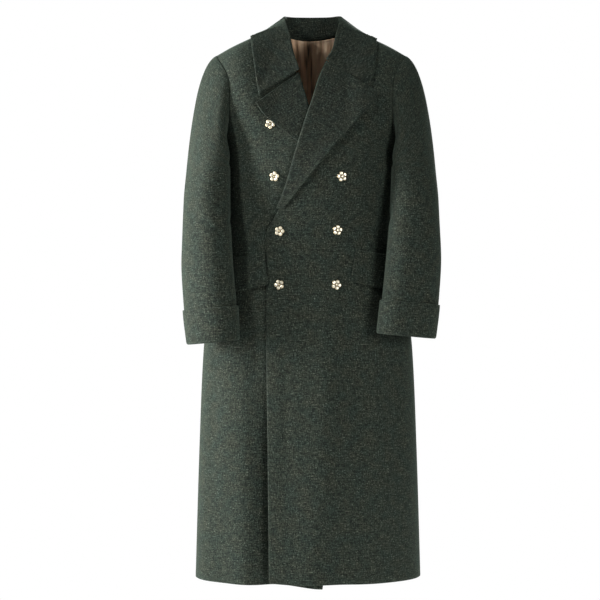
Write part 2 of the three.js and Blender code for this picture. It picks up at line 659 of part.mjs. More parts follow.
function addCollar() {
  const columns = [];
  for (let i = COLLAR_STEPS; i > 0; i -= 1) columns.push(collarSection(1, i / COLLAR_STEPS));
  for (let i = 0; i <= COLLAR_STEPS; i += 1) columns.push(collarSection(-1, i / COLLAR_STEPS));
  const rows = columns[0].map((_, r) => columns.map((column) => column[r]));
  const normals = gridNormals(rows, rowNeighbours(rows, -1), rowNeighbours(rows, 1));
  addPiece("collar", wallGeometry(rows, normals, CLOTH, false), WOOL_DARK);
}

// Pocket flaps: front and back ends of the upper and the lower edge, seen from the front
const FLAPS = [
  {
    name: "flap_left", hand: 1, front: { x: 98, z: -519 }, frontLow: { x: 86, z: -591 },
    back: { x: 183, z: -530 }, backLow: { x: 196, z: -612 }, lift: leftLift,
  },
  {
    name: "flap_right", hand: -1, front: { x: 104, z: -527 }, frontLow: { x: 93, z: -598 },
    back: { x: 183, z: -538 }, backLow: { x: 196, z: -616 },
    lift: (x) => OVER_SKIRT * ease(-135, -112, x) + 0.4,
  },
];
const FLAP_DOWN = [0, 0.35, 0.7, 0.93, 1];
const FLAP_COLUMNS = 9;
const FLAP_CORNER = 7;
const FLAP_RISE = 2.2;         // how far the lower edge stands off
const FLAP_BACK = 1.5;         // more room where the side curves away

function addFlap({ name, hand, front, frontLow, back, backLow, lift }) {
  const rows = FLAP_DOWN.map((down) => Array.from({ length: FLAP_COLUMNS }, (_, c) => {
    const t = c / (FLAP_COLUMNS - 1);
    const round = down === 1 && c === 0 ? FLAP_CORNER : 0;
    const x = hand * (mix(mix(front.x, frontLow.x, down), mix(back.x, backLow.x, down), t) + round);
    const z = mix(mix(front.z, frontLow.z, down), mix(back.z, backLow.z, down), t);
    return onBody(x, z, -1, lift(x, z) + LAYER_GAP + CLOTH + FLAP_RISE * down + FLAP_BACK * t * t);
  }));
  if (hand < 0) rows.forEach((row) => row.reverse());
  const normals = gridNormals(rows, rowNeighbours(rows, -1), rowNeighbours(rows, 1));
  addPiece(name, wallGeometry(rows, normals, CLOTH, false), WOOL);
}

// Lining of the back, with soft folds hanging from the neck seam
const LINING_TOP = 3.5;
const LINING_CORNER = 4;      // how much lower its top is at the shoulders
const LINING_DROPS = [0, 14, 34, 64, 105, 160, 220];
const LINING_COLUMNS = 25;
const LINING_FOLDS = [
  { x: -44, wide: 6, high: 2.2 }, { x: -28, wide: 5, high: 3.2 }, { x: -11, wide: 6, high: 4 },
  { x: 5, wide: 5, high: 3 }, { x: 20, wide: 6, high: 3.6 }, { x: 38, wide: 6, high: 2.4 },
];

function addLining() {
  const levels = SKIRT_LEVELS.slice(0, -1);
  const rowCount = LINING_DROPS.length + levels.length;
  const rows = Array.from({ length: rowCount }, (_, r) => Array.from({ length: LINING_COLUMNS }, (_, c) => {
    const down = r < LINING_DROPS.length ? LINING_DROPS[r] : -levels[r - LINING_DROPS.length];
    const half = mix(92, 165, ease(0, 500, down));
    const even = 1 - (2 * c) / (LINING_COLUMNS - 1);
    const x = half * Math.sign(even) * Math.abs(even) ** 1.35;
    const below = LINING_TOP + LINING_CORNER * ease(50, 80, Math.abs(x));
    const z = r < LINING_DROPS.length
      ? mix(neckTop(x), -NAPE_DROP, ease(0, 220, down)) - below - down : -down;
    const folds = LINING_FOLDS.reduce(
      (sum, f) => sum + f.high * Math.exp(-(((x - f.x) / f.wide) ** 2)), 0);
    const hang = ease(0, 25, down) * (1 - 0.7 * ease(250, 700, down));
    return onBody(x, z, 1, backLift(x, z) - CLOTH - 2.4 - folds * hang);
  }));
  const normals = gridNormals(rows, rowNeighbours(rows, -1), rowNeighbours(rows, 1));
  addPiece("lining_back", wallGeometry(rows, normals, LINING_CLOTH, false), LINING);
}

// Flower-shaped metal buttons: place seen from the front, and the panel that each is sewn to
const BUTTONS = [
  { name: "button_right_1", x: -92, z: -237, lift: rightLift, turn: 0.3 },
  { name: "button_right_2", x: -82, z: -354.6, lift: rightLift, turn: 0.1 },
  { name: "button_left_1", x: 65.7, z: -354.6, lift: leftLift, turn: 0.5 },
  { name: "button_left_2", x: -69.7, z: -476.7, lift: leftLift, turn: 0.2 },
  { name: "button_left_3", x: 56.9, z: -474.4, lift: leftLift, turn: 0.9 },
  { name: "button_left_4", x: -70.9, z: -596.6, lift: leftLift, turn: 0.7 },
  { name: "button_left_5", x: 54.8, z: -596.6, lift: leftLift, turn: 0.0 },
];
const PETALS = 5;
const BUTTON_RADIUS = 11.2;
const BUTTON_GAP = 0.65;
// Rings of a button from its back to the middle of its face: height and share of the radius
const BUTTON_RINGS = [
  { high: 0, share: 0.62 }, { high: 0.9, share: 0.9 }, { high: 2.2, share: 1 },
  { high: 3.2, share: 0.86 }, { high: 3.5, share: 0.55 }, { high: 2.3, share: 0.3 },
];

function buttonGeometry(turn) {
  const around = PETALS * 4;
  const position = [];
  BUTTON_RINGS.forEach(({ high, share }) => {
    for (let i = 0; i < around; i += 1) {
      const angle = (i / around) * 2 * Math.PI;
      const petal = 1 - 0.2 * share * Math.abs(Math.sin((PETALS * (angle + turn)) / 2)) ** 3;
      const radius = BUTTON_RADIUS * share * petal;
      position.push(radius * Math.cos(angle), radius * Math.sin(angle), high);
    }
  });
  position.push(0, 0, 0, 0, 0, 2.6);
  const back = BUTTON_RINGS.length * around;
  const index = [];
  for (let i = 0; i < around; i += 1) {
    const next = (i + 1) % around;
    for (let r = 0; r < BUTTON_RINGS.length - 1; r += 1) {
      const a = r * around;
      const b = a + around;
      index.push(a + i, a + next, b + next, a + i, b + next, b + i);
    }
    const face = (BUTTON_RINGS.length - 1) * around;
    index.push(back, next, i, face + i, face + next, back + 1);
  }
  const geometry = new THREE.BufferGeometry();
  geometry.setAttribute("position", new THREE.Float32BufferAttribute(position, 3));
  geometry.setIndex(index);
  geometry.computeVertexNormals();
  return geometry;
}

function addButtons() {
  BUTTONS.forEach(({ name, x, z, lift, turn }) => {
    const button = addPiece(name, buttonGeometry(turn), METAL);
    button.position.copy(onBody(x, z, -1, lift(x, z) + BUTTON_GAP));
    button.quaternion.setFromUnitVectors(new THREE.Vector3(0, 0, 1), surfaceNormal(x, z, -1));
  });
}

addPanels();
addSleeve(1, "sleeve_left");
addSleeve(-1, "sleeve_right");
addCuff(1, "cuff_left");
addCuff(-1, "cuff_right");
addLapel("lapel_left", 1, LAPEL_LEFT, leftLift);
addLapel("lapel_right", -1, LAPEL_RIGHT, () => 0);
addCollar();
FLAPS.forEach(addFlap);
addLining();
addButtons();

export default coat;
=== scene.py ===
import math
import bpy
import numpy as np
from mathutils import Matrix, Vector


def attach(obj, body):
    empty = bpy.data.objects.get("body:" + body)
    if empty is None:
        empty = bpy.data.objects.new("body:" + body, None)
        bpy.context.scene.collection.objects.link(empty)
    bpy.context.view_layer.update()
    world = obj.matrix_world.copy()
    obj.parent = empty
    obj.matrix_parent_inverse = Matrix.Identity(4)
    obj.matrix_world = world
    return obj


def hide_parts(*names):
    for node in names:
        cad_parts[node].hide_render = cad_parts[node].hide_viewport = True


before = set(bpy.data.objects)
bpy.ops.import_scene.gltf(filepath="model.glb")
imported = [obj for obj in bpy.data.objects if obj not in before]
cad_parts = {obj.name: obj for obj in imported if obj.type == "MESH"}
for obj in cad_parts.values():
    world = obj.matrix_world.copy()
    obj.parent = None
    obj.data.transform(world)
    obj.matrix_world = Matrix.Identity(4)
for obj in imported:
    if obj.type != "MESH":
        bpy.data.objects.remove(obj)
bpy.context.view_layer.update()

# A full-length double-breasted wool overcoat, filled out with no wearer. Every piece is a fine
# wall on the form of its solid. Sizes are in millimetres here and become metres in add_mesh.
# The front faces -Y and +X is the wearer's left.
MM = 0.001                    # metres in a millimetre
CLOTH = 2.2                   # thickness of the wool
LINING_CLOTH = 1.0            # thickness of the lining
EDGE_ROUND = 0.4              # how far a wall's edge bulges, as a share of its thickness
SEAM_GAP = 0.3                # between two sewn pieces
LAYER_GAP = 0.5               # between two layers that lie on each other
ARMHOLE_GAP = 1.1             # from the armhole out to the sleeve's first row

NECK_HALF = 80                # from the middle to the side of the neck
NAPE_DROP = 20                # how low the neck seam dips at the centre back
NECK_SIDE_DROP = 4            # and at the side of the neck
CHEST_LEVEL = -295            # the armhole's bottom
HEM_LEVEL = -1260
HEM_LIFT = 2.5                # the left front's hem rises by this and the right one's drops
LEFT_HEM_FROM = -40           # from here to its edge the left hem rises
RIGHT_HEM_FROM = 60           # from here to its edge the right hem drops further
UNDERLAP_DROP = 8.5           # by this
FRONT_EDGE = -98.5            # place of the left front's edge
UNDERLAP_EDGE = 85            # how far the right front runs on under the left one
UNDERLAP_HEM = 23             # the same at its hem
LEAN = -7                     # how far the skirt hangs to the wearer's right
LEAN_LEVELS = (-300, -620)    # between these levels the lean grows

# Shoulder seam line from the neck out
RIDGE = {"x": [0, 60, 82, 110, 146, 183, 217, 240], "z": [0, 0, -4, -15, -32, -50, -69, -82]}

# Level sections of the body, from the hem up
BODY = {
    "z": [-1290, -970, -734, -475, CHEST_LEVEL, -160, 0],
    "half": [259, 249.6, 239, 192, 200, 225, 225],
    "front": [155, 150, 145, 124, 132, 128, 118],
    "back": [155, 147, 138, 110, 120, 118, 112],
    "power": [2.2, 2.2, 2.2, 2.2, 2.2, 2.4, 2.4],
}
# How the body rounds over below the shoulder line: the height it takes and its power. The front
# changes from the first pair to the second over these distances from the middle.
NECK_ROUND = (330.0, 1.6)
SHOULDER_ROUND = (180.0, 2.2)
ROUND_CHANGE = (70, 190)

ARMHOLE = {
    "z": [CHEST_LEVEL, -260, -200, -142, -115, -99, -83, -69],
    "x": [200, 190, 183, 184.5, 191, 199, 209, 217],
}

# Inner edges of the fronts, from the hem up to the neck
LEFT_EDGE = {
    "z": [-1290, -963, -741, -480, -452, -424, -375, -322, -270, -222, -180, -134, -97, -72, -45,
          -22, -4],
    "x": [-92.5, -96, FRONT_EDGE, FRONT_EDGE, -84, -68.5, -51, -36, -21, -6, 8, 22, 38.5, 51, 62,
          72, NECK_HALF],
}
RIGHT_EDGE = {
    "z": [-1290, -620, -480, -452, -290, -256, -226, -197, -168, -140, -116, -97, -72, -45,
          -22, -4],
    "x": [-UNDERLAP_HEM, -UNDERLAP_EDGE, -UNDERLAP_EDGE, -70, -19, -9, 1, 10, 19, 27, 35, 42,
          52, 62, 72, NECK_HALF],
}

SHOULDER_LOW = 226            # drop from the shoulder line to the armhole's bottom
SHOULDER_ROWS = 40
SHOULDER_CROWDING = 1.6       # crowds those rows towards the shoulder line
SKIRT_ROWS = 96
FIRST_EDGE, FIRST_SIDE = 60.0, 180.0    # where settle starts for a panel's two sides
SETTLE_STEPS = 60

# Soft vertical folds of the skirt: place at the hem, half width and height
FOLD_TOP = -650
LEFT_FOLDS = [(0, 34, 5), (66, 30, -5), (140, 36, 4)]
RIGHT_FOLDS = [(-205, 34, -4), (-150, 30, 5)]
BACK_FOLDS = [(-130, 42, 5), (-60, 34, -5), (20, 40, 5), (95, 36, -5), (165, 34, 4)]
VALLEY = {"x": -85, "wide": 30, "deep": 24, "rest": 9}    # beside the overlap, in the right front

# Height of the left front where it lies over the right one, and over which levels and widths
# it changes, begins and ends
OVER_CHEST = 10.4
OVER_SKIRT = 3.2
OVER_CHANGE = (-380, -530)
OVER_TOP = (-25, -165)
OVER_SIDE = (95, 165)


def mix(a, b, t):
    return a + (b - a) * t


def ease(start, end, value):
    t = np.clip((np.asarray(value, float) - start) / (end - start), 0, 1)
    return t * t * (3 - 2 * t)


def smooth_line(table, key, column):
    """A line through a rising table with no overshoot, as a function of its key."""
    xs = np.array(table[key], float)
    ys = np.array(table[column], float)
    step = np.diff(xs)
    slope = np.diff(ys) / step
    tangent = np.zeros(len(xs))
    tangent[0] = slope[0]
    tangent[-1] = slope[-1]
    for i in range(1, len(xs) - 1):
        a, b = slope[i - 1], slope[i]
        tangent[i] = 0 if a * b <= 0 else 2 * a * b / (a + b)

    def line(value):
        v = np.clip(np.asarray(value, float), xs[0], xs[-1])
        i = np.clip(np.searchsorted(xs, v, side="right") - 1, 0, len(step) - 1)
        h = step[i]
        t = (v - xs[i]) / h
        return (ys[i] * (1 + 2 * t) * (1 - t) ** 2 + tangent[i] * h * t * (1 - t) ** 2
                + ys[i + 1] * t * t * (3 - 2 * t) + tangent[i + 1] * h * t * t * (t - 1))
    return line


ridge_line = smooth_line(RIDGE, "x", "z")
armhole_x = smooth_line(ARMHOLE, "z", "x")
body_half = smooth_line(BODY, "z", "half")
body_front = smooth_line(BODY, "z", "front")
body_back = smooth_line(BODY, "z", "back")
body_power = smooth_line(BODY, "z", "power")
left_edge = smooth_line(LEFT_EDGE, "z", "x")
right_edge = smooth_line(RIGHT_EDGE, "z", "x")


def ridge_z(x):
    return ridge_line(np.abs(x))


def lean_x(z):
    return LEAN * ease(*LEAN_LEVELS, z)


def surface_y(x, z, side):
    """Depth of the body's plain surface; side is -1 at the front and 1 at the back."""
    x, z = np.broadcast_arrays(np.asarray(x, float), np.asarray(z, float))
    power = body_power(z)
    across = np.clip(np.abs(x - lean_x(z)) / body_half(z), 0, 1)
    side = np.broadcast_to(np.asarray(side, float), x.shape)
    deep = np.where(side < 0, body_front(z), body_back(z)) * (1 - across ** power) ** (1 / power)
    out = ease(*ROUND_CHANGE, np.abs(x))
    height, round_power = (np.where(side > 0, far, mix(near, far, out))
                           for near, far in zip(NECK_ROUND, SHOULDER_ROUND))
    drop = np.clip((ridge_z(x) - z) / height, 0, 1)
    full = (1 - (1 - drop) ** round_power) ** (1 / round_power)
    return side * (deep * full + SEAM_GAP / 2)


def unit(v):
    return v / np.maximum(np.linalg.norm(v, axis=-1, keepdims=True), 1e-9)


def surface_normal(x, z, side):
    step = 0.5
    dx = (surface_y(x + step, z, side) - surface_y(x - step, z, side)) / (2 * step)
    dz = (surface_y(x, z + step, side) - surface_y(x, z - step, side)) / (2 * step)
    side = np.broadcast_to(np.asarray(side, float), dx.shape)
    return unit(np.stack([-side * dx, side, -side * dz], axis=-1))


def on_body(x, z, side, lift):
    x, z = np.broadcast_arrays(np.asarray(x, float), np.asarray(z, float))
    point = np.stack([x, surface_y(x, z, side), z], axis=-1)
    return point + surface_normal(x, z, side) * np.broadcast_to(lift, x.shape)[..., None]


def fold_height(folds, x, z):
    grown = ease(FOLD_TOP, HEM_LEVEL, z)
    return sum(high * grown * np.exp(-((x - at) / wide) ** 2) for at, wide, high in folds)


def left_lift(x, z):
    layers = mix(OVER_CHEST, OVER_SKIRT, ease(*OVER_CHANGE, z))
    begun, beside = ease(*OVER_TOP, z), 1 - ease(*OVER_SIDE, x)
    return layers * begun * beside + fold_height(LEFT_FOLDS, x, z)


def right_lift(x, z):
    near = np.exp(-((x - VALLEY["x"]) / VALLEY["wide"]) ** 2)
    deep = np.where(x < VALLEY["x"], VALLEY["deep"] * near,
                    mix(VALLEY["rest"], VALLEY["deep"], near))
    return fold_height(RIGHT_FOLDS, x, z) - ease(FOLD_TOP, HEM_LEVEL, z) * deep


def back_lift(x, z):
    return fold_height(BACK_FOLDS, x, z)


# Mesh building

def grid_normals(rows, wrapped):
    """Outward normals of a grid whose rows run down and whose columns run across."""
    down = np.gradient(rows, axis=0)
    if wrapped:
        across = (np.roll(rows, -1, axis=1) - np.roll(rows, 1, axis=1)) / 2
    else:
        across = np.gradient(rows, axis=1)
    return unit(np.cross(down, across))


def edge_loops(row_count, column_count, wrapped):
    last_row, last_column = row_count - 1, column_count - 1
    top = [(0, c) for c in range(column_count)]
    bottom = [(last_row, c) for c in range(last_column, -1, -1)]
    if wrapped:
        return [top, bottom]
    right = [(r, last_column) for r in range(1, last_row)]
    left = [(r, 0) for r in range(last_row - 1, 0, -1)]
    return [top + right + bottom + left]


def cloth_uv(rows):
    """Distances along the cloth in metres, across and down from the first corner."""
    across = np.linalg.norm(np.diff(rows, axis=1), axis=2)
    down = np.linalg.norm(np.diff(rows, axis=0), axis=2)
    u = np.concatenate([np.zeros((len(rows), 1)), np.cumsum(across, axis=1)], axis=1)
    v = np.concatenate([np.zeros((1, rows.shape[1])), np.cumsum(down, axis=0)], axis=0)
    middle = rows.shape[1] // 2
    u = u - u[:, middle:middle + 1]
    v = np.repeat(v[:, middle:middle + 1], rows.shape[1], axis=1)
    return np.stack([u, v], axis=-1) * MM


def add_mesh(name, rows, thickness, material, replaced, wrapped=False):
    """A closed wall of cloth with rounded edges; rows are points on its outer face."""
    normals = grid_normals(rows, wrapped)
    row_count, column_count = rows.shape[:2]
    inner = rows - normals * thickness
    count = row_count * column_count
    points = [rows.reshape(-1, 3), inner.reshape(-1, 3)]
    uv = cloth_uv(rows).reshape(-1, 2)
    uvs = [uv, uv]
    index = np.arange(count).reshape(row_count, column_count)
    if wrapped:
        right_of = np.roll(index, -1, axis=1)
    else:
        right_of = index[:, 1:]
        index = index[:, :-1]
    a, b = index[:-1].ravel(), index[1:].ravel()
    c, d = right_of[1:].ravel(), right_of[:-1].ravel()
    faces = [np.stack([a, b, c, d], axis=1), np.stack([a, d, c, b], axis=1) + count]
    base = 2 * count
    for loop in edge_loops(row_count, column_count, wrapped):
        loop = np.array(loop)
        r, c = loop[:, 0], loop[:, 1]
        inside_r = np.clip(r, 1, row_count - 2)
        inside_c = c if wrapped else np.clip(c, 1, column_count - 2)
        outward = unit(rows[r, c] - rows[inside_r, inside_c])
        middle = (rows[r, c] + inner[r, c]) / 2 + outward * thickness * EDGE_ROUND
        ids = r * column_count + c
        ring = base + np.arange(len(loop))
        next_ids, next_ring = np.roll(ids, -1), np.roll(ring, -1)
        faces.append(np.stack([ids, next_ids, next_ring, ring], axis=1))
        faces.append(np.stack([ring, next_ring, next_ids + count, ids + count], axis=1))
        points.append(middle)
        uvs.append(uv[ids])
        base += len(loop)
    points = np.concatenate(points) * MM
    uvs = np.concatenate(uvs)
    faces = np.concatenate(faces)
    mesh = bpy.data.meshes.new(name)
    mesh.from_pydata(points.tolist(), [], faces.tolist())
    layer = mesh.uv_layers.new(name="cloth")
    layer.data.foreach_set("uv", uvs[faces.ravel()].ravel())
    mesh.polygons.foreach_set("use_smooth", [True] * len(mesh.polygons))
    mesh.materials.append(material)
    piece = bpy.data.objects.new(name, mesh)
    bpy.context.scene.collection.objects.link(piece)
    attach(piece, "root")
    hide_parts(*replaced)


# Shares of a crease's length between which it grows, and between which it fades
CREASE_GROWS = (-0.12, 0.3)
CREASE_FADES = (1.12, 0.7)


def creases(table, x, z):
    """Soft troughs and ridges along straight lines: both ends, half width and height."""
    height = np.zeros(np.broadcast(x, z).shape)
    for x1, z1, x2, z2, wide, high in table:
        length = math.hypot(x2 - x1, z2 - z1)
        along_x, along_z = (x2 - x1) / length, (z2 - z1) / length
        t = ((x - x1) * along_x + (z - z1) * along_z) / length
        beside = (x - x1) * -along_z + (z - z1) * along_x
        taper = ease(*CREASE_GROWS, t) * ease(*CREASE_FADES, t)
        height += high * taper * np.exp(-(beside / wide) ** 2)
    return height


# Body panels

def settle(next_x, start):
    """The x that next_x leaves where it is."""
    x = start
    for _ in range(SETTLE_STEPS):
        x = mix(x, next_x(x), 0.5)
    return x


def neck_top(x):
    out = (x / NECK_HALF) ** 2
    near = -NAPE_DROP * (1 - out) - NECK_SIDE_DROP * out
    return np.where(np.abs(x) < NECK_HALF, near, ridge_z(x))


def panel_rows(hand, side, columns, edge, top, lift, hem, crease_table):
    """Rows of a panel from its inner edge to the armhole and the side seam."""
    share = np.linspace(0, 1, SHOULDER_ROWS)[:, None]
    drop = SHOULDER_LOW * share ** SHOULDER_CROWDING
    t = np.linspace(0, 1, SKIRT_ROWS + 1)[1:, None]
    armhole_top = ARMHOLE["z"][-1]
    level = ease(0, SHOULDER_LOW, drop)

    def row_z(x):
        x = np.broadcast_to(x, (SHOULDER_ROWS + SKIRT_ROWS, np.asarray(x).shape[-1]))
        upper = mix(top(x[:SHOULDER_ROWS]), armhole_top, level) - drop
        lower = mix(CHEST_LEVEL, hem(x[SHOULDER_ROWS:]), t)
        return np.concatenate([upper, lower])

    column = np.ones((SHOULDER_ROWS + SKIRT_ROWS, 1))
    edge_x = settle(lambda x: edge(row_z(x)), column * FIRST_EDGE)
    arm_x = settle(lambda x: armhole_x(row_z(x)), column * FIRST_SIDE)
    z_at = row_z(edge_x)
    seam_x = settle(lambda x: hand * lean_x(row_z(x)) + body_half(row_z(x)), column * FIRST_SIDE)
    side_x = np.concatenate([arm_x[:SHOULDER_ROWS], seam_x[SHOULDER_ROWS:]])
    half, power, middle = body_half(z_at), body_power(z_at), hand * lean_x(z_at)

    def turn(x):
        across = np.clip((x - middle) / half, -1, 1)
        return np.sign(across) * np.arcsin(np.abs(across) ** (power / 2))
    angle = mix(turn(edge_x), turn(side_x), np.linspace(0, 1, columns)[None, :])
    local = middle + half * np.sign(angle) * np.abs(np.sin(angle)) ** (2 / power)
    local[:, -1:] = side_x
    z = row_z(local)
    x = hand * local
    rows = on_body(x, z, side, lift(x, z) + creases(crease_table, x, z))
    return rows[:, ::-1] if hand * side > 0 else rows


# Creases of the panels: both ends seen from the front, half width and height
FRONT_LEFT_CREASES = [
    (178, -262, 118, -352, 15, -2.4), (186, -318, 140, -440, 12, -1.6),
    (170, -290, 128, -300, 10, 1.1), (182, -436, 112, -466, 11, 1.7),
    (180, -500, 105, -486, 10, -1.5), (60, -398, 10, -420, 14, 1.2),
    (-20, -440, 40, -452, 10, -1.1), (36, -590, 42, -1260, 36, 6.5),
    (102, -640, 112, -1260, 32, -5.5), (150, -700, 160, -1190, 22, 1.7),
    (-52, -700, -58, -1150, 16, -1.3), (176, -640, 190, -1050, 22, -1.6),
]
FRONT_RIGHT_CREASES = [
    (-172, -255, -112, -350, 16, -2.2), (-182, -330, -132, -452, 11, -1.5),
    (-176, -446, -118, -470, 10, 1.5), (-178, -512, -122, -494, 12, -1.3),
    (-150, -300, -118, -306, 9, 1.0), (-128, -660, -132, -1080, 18, -1.7),
    (-182, -640, -196, -1110, 22, 1.8), (-222, -760, -230, -1200, 16, -1.4),
    (-96, -590, -98, -1320, 46, -7),
]
BACK_CREASES = [
    (158, -190, 98, -318, 18, -3.7), (-150, -210, -104, -338, 20, -3.4),
    (52, -150, 40, -300, 24, 2), (-64, -140, -46, -260, 20, 2.2),
    (166, -436, 84, -458, 12, 2.9), (-160, -448, -70, -466, 13, 2.5),
    (150, -492, 40, -486, 11, -2.7), (-146, -505, -30, -492, 12, -2.9),
    (90, -580, 104, -940, 22, 3.1), (-40, -620, -58, -1080, 24, -3.2),
    (-120, -600, -136, -980, 20, 2.7), (150, -700, 172, -1180, 20, -2.9),
    (30, -760, 26, -1190, 18, 2.5), (-190, -720, -205, -1130, 16, 2.5),
]


def left_hem(x):
    return HEM_LEVEL + HEM_LIFT * ease(LEFT_HEM_FROM, FRONT_EDGE, x)


def right_hem(x):
    return HEM_LEVEL - HEM_LIFT - UNDERLAP_DROP * ease(RIGHT_HEM_FROM, -UNDERLAP_HEM, x)


def back_hem(x):
    return np.full(np.shape(x), float(HEM_LEVEL))


# Sleeves. Level rings below the armhole: outer and inner side, half depth, forward turn and place
SLEEVE = {
    "z": [-735, -640, -531, -405, -335],
    "outer": [272, 284.5, 291.5, 289.5, 285.5],
    "innerLeft": [147, 157, 168, 178, 181],
    "innerRight": [163, 167, 176, 182, 182.5],
    "deep": [43, 52, 60, 64, 65],
    "turn": [0.3, 0.3, 0.3, 0.35, 0.55],
    "y": [-138, -122, -100, -68, -46],
}
sleeve_line = {key: smooth_line(SLEEVE, "z", key) for key in SLEEVE if key != "z"}
SLEEVE_TOP = -335             # where the cap ends and the arm begins
CUFF_LEVEL = -724             # the lower end of both sleeves
CUFF_TILT = 0.1               # the end's outer side hangs lower, per millimetre across
SHORTER_LEFT = 14             # how much higher the left sleeve ends
SLEEVE_SPACE = 10             # between the arm and the body
CAP_SWELL = 15                # the front of the cap swells over the chest beside the armpit
SWELL_ANGLE = math.radians(138)
SWELL_WIDE = math.radians(34)
BACK_SEAM = math.radians(-100)
FRONT_SEAM = math.radians(150)
SEAM_ANGLE = SEAM_GAP / 40    # half of the gap at a sleeve's seams, in radians
CAP_ROWS = 34
CAP_CROWDING = 1.2            # crowds those rows towards the armhole
ARM_ROWS = 66
# The way the cap leaves the armhole and arrives in the arm. A pair has the values at the bottom
# and the top of the armhole; forward turns the front part less outward and more to the front.
CAP_FORWARD = (0.75, 0.9)
LEAVE_DOWN = (-0.8, -0.48)
LEAVE_REACH = (1, 0.5)
ARRIVE_WAY = (0.08, -0.1, -1.0)
ARRIVE_REACH = (0.6, 1.15)


def beside_body(point, space):
    """Moves points of a sleeve out to where they lie beside the body."""
    x, y, z = point[..., 0], point[..., 1], point[..., 2]
    power, centre = body_power(z), lean_x(z)
    deep = np.where(y < 0, body_front(z), body_back(z)) + space
    inside = (np.abs(x - centre) / (body_half(z) + space)) ** power + (np.abs(y) / deep) ** power
    grow = np.where(inside < 1, np.maximum(inside, 1e-6) ** (-1 / power), 1)
    return np.stack([centre + (x - centre) * grow, y * grow, z], axis=-1)


def sleeve_point(hand, level, angle, grow):
    """Points of a sleeve; the angle is 0 at the outer side and a quarter turn at the front."""
    level, angle = np.broadcast_arrays(np.asarray(level, float), np.asarray(angle, float))
    inner = sleeve_line["innerLeft" if hand > 0 else "innerRight"](level)
    outer = sleeve_line["outer"](level)
    half = (outer - inner) / 2
    deep = sleeve_line["deep"](level)
    turn = sleeve_line["turn"](level) * half
    out = unit(np.stack([deep * np.cos(angle) + turn * np.sin(angle), -half * np.sin(angle)], -1))
    x = (outer + inner) / 2 + half * np.cos(angle)
    y = sleeve_line["y"](level) - deep * np.sin(angle) + turn * np.cos(angle)
    low = ease(SLEEVE_TOP, CUFF_LEVEL, level)
    rise = low * (SHORTER_LEFT if hand > 0 else 0) - low * CUFF_TILT * (x - (outer + inner) / 2)
    point = beside_body(np.stack([hand * x, y, level + rise], axis=-1), SLEEVE_SPACE)
    point[..., 0] += hand * out[..., 0] * grow
    point[..., 1] += out[..., 1] * grow
    return point


def cap_point(hand, step, angle):
    """Points of the cap, which bends from the armhole down into the arm."""
    step, angle = np.broadcast_arrays(np.asarray(step, float), np.asarray(angle, float))
    high = (1 + np.cos(angle)) / 2
    z = mix(CHEST_LEVEL + LAYER_GAP, ARMHOLE["z"][-1], high)
    x = armhole_x(z)
    y = surface_y(x, z, np.where(np.sin(angle) > 0, -1.0, 1.0))
    start = np.stack([hand * (x + ARMHOLE_GAP), y, z], axis=-1)
    end = sleeve_point(hand, SLEEVE_TOP, angle, 0)
    reach = np.linalg.norm(end - start, axis=-1, keepdims=True)
    forward = np.maximum(np.sin(angle), 0) * np.sqrt(1 - high)
    leave = np.stack([hand * (1 - CAP_FORWARD[0] * forward), -CAP_FORWARD[1] * forward,
                      mix(*LEAVE_DOWN, high)], -1)
    leave = unit(leave) * reach * mix(*LEAVE_REACH, high)[..., None]
    arrive = np.array(ARRIVE_WAY) * [hand, 1, 1] * reach * mix(*ARRIVE_REACH, high)[..., None]
    t = step[..., None]
    point = (start * (1 + 2 * t) * (1 - t) ** 2 + leave * t * (1 - t) ** 2
             + end * t * t * (3 - 2 * t) + arrive * t * t * (t - 1))
    swell = (CAP_SWELL * np.sin(math.pi * step) ** 2
             * np.exp(-((angle - SWELL_ANGLE) / SWELL_WIDE) ** 2))
    point[..., 0] -= hand * swell
    point[..., 1] -= 0.5 * swell
    space = SLEEVE_SPACE * ease(0, 1, step) + LAYER_GAP
    low = beside_body(point, space)
    least = armhole_x(point[..., 2]) + ARMHOLE_GAP
    wide = np.abs(point[..., 0])
    before = -surface_y(np.minimum(wide, least), point[..., 2], -1) + CLOTH + ARMHOLE_GAP
    behind = -point[..., 1] < before
    forwards = behind & (np.sin(angle) > 0.3) & (wide < least)
    pushed = point.copy()
    pushed[..., 1] = np.where(forwards, -before, point[..., 1])
    pushed[..., 0] = np.where(behind & ~forwards, hand * np.maximum(wide, least), point[..., 0])
    under = (point[..., 2] < CHEST_LEVEL)[..., None]
    return np.where(step[..., None] == 0, start, np.where(under, low, pushed))


# Creases of the sleeves: distance round from the outer side and level, at both ends
SLEEVE_LEFT_CREASES = [
    (48, -448, 122, -478, 9, -2.3), (60, -500, 130, -494, 8, -1.8),
    (30, -420, 96, -428, 10, 1.4), (42, -548, 112, -566, 10, -1.4),
    (96, -318, 84, -436, 13, 1.8), (20, -170, 34, -330, 15, -1.5),
    (66, -196, 92, -292, 10, -1.7), (-44, -390, -60, -610, 17, 1.5),
    (8, -470, 14, -690, 18, 1.3), (150, -430, 206, -462, 9, -2.0),
    (-70, -440, -20, -470, 12, -1.3), (100, -610, 60, -640, 9, 1.2),
]
SLEEVE_RIGHT_CREASES = [
    (40, -436, 116, -470, 10, -2.1), (54, -492, 128, -500, 9, -1.9),
    (24, -408, 90, -420, 11, 1.3), (36, -556, 104, -560, 9, -1.3),
    (90, -300, 78, -446, 14, 2.0), (14, -160, 26, -350, 16, -1.4),
    (60, -180, 88, -282, 11, -1.9), (-40, -370, -52, -640, 18, 1.6),
    (14, -500, 6, -700, 16, 1.2), (156, -440, 210, -470, 10, -2.0),
    (-66, -470, -14, -486, 11, -1.4), (94, -626, 50, -650, 9, 1.1),
]
ARM_RADIUS = 56
CREASES_TOP = (-110, -190)    # the creases begin between these levels
CREASES_END = (-712, -680)    # and end between these


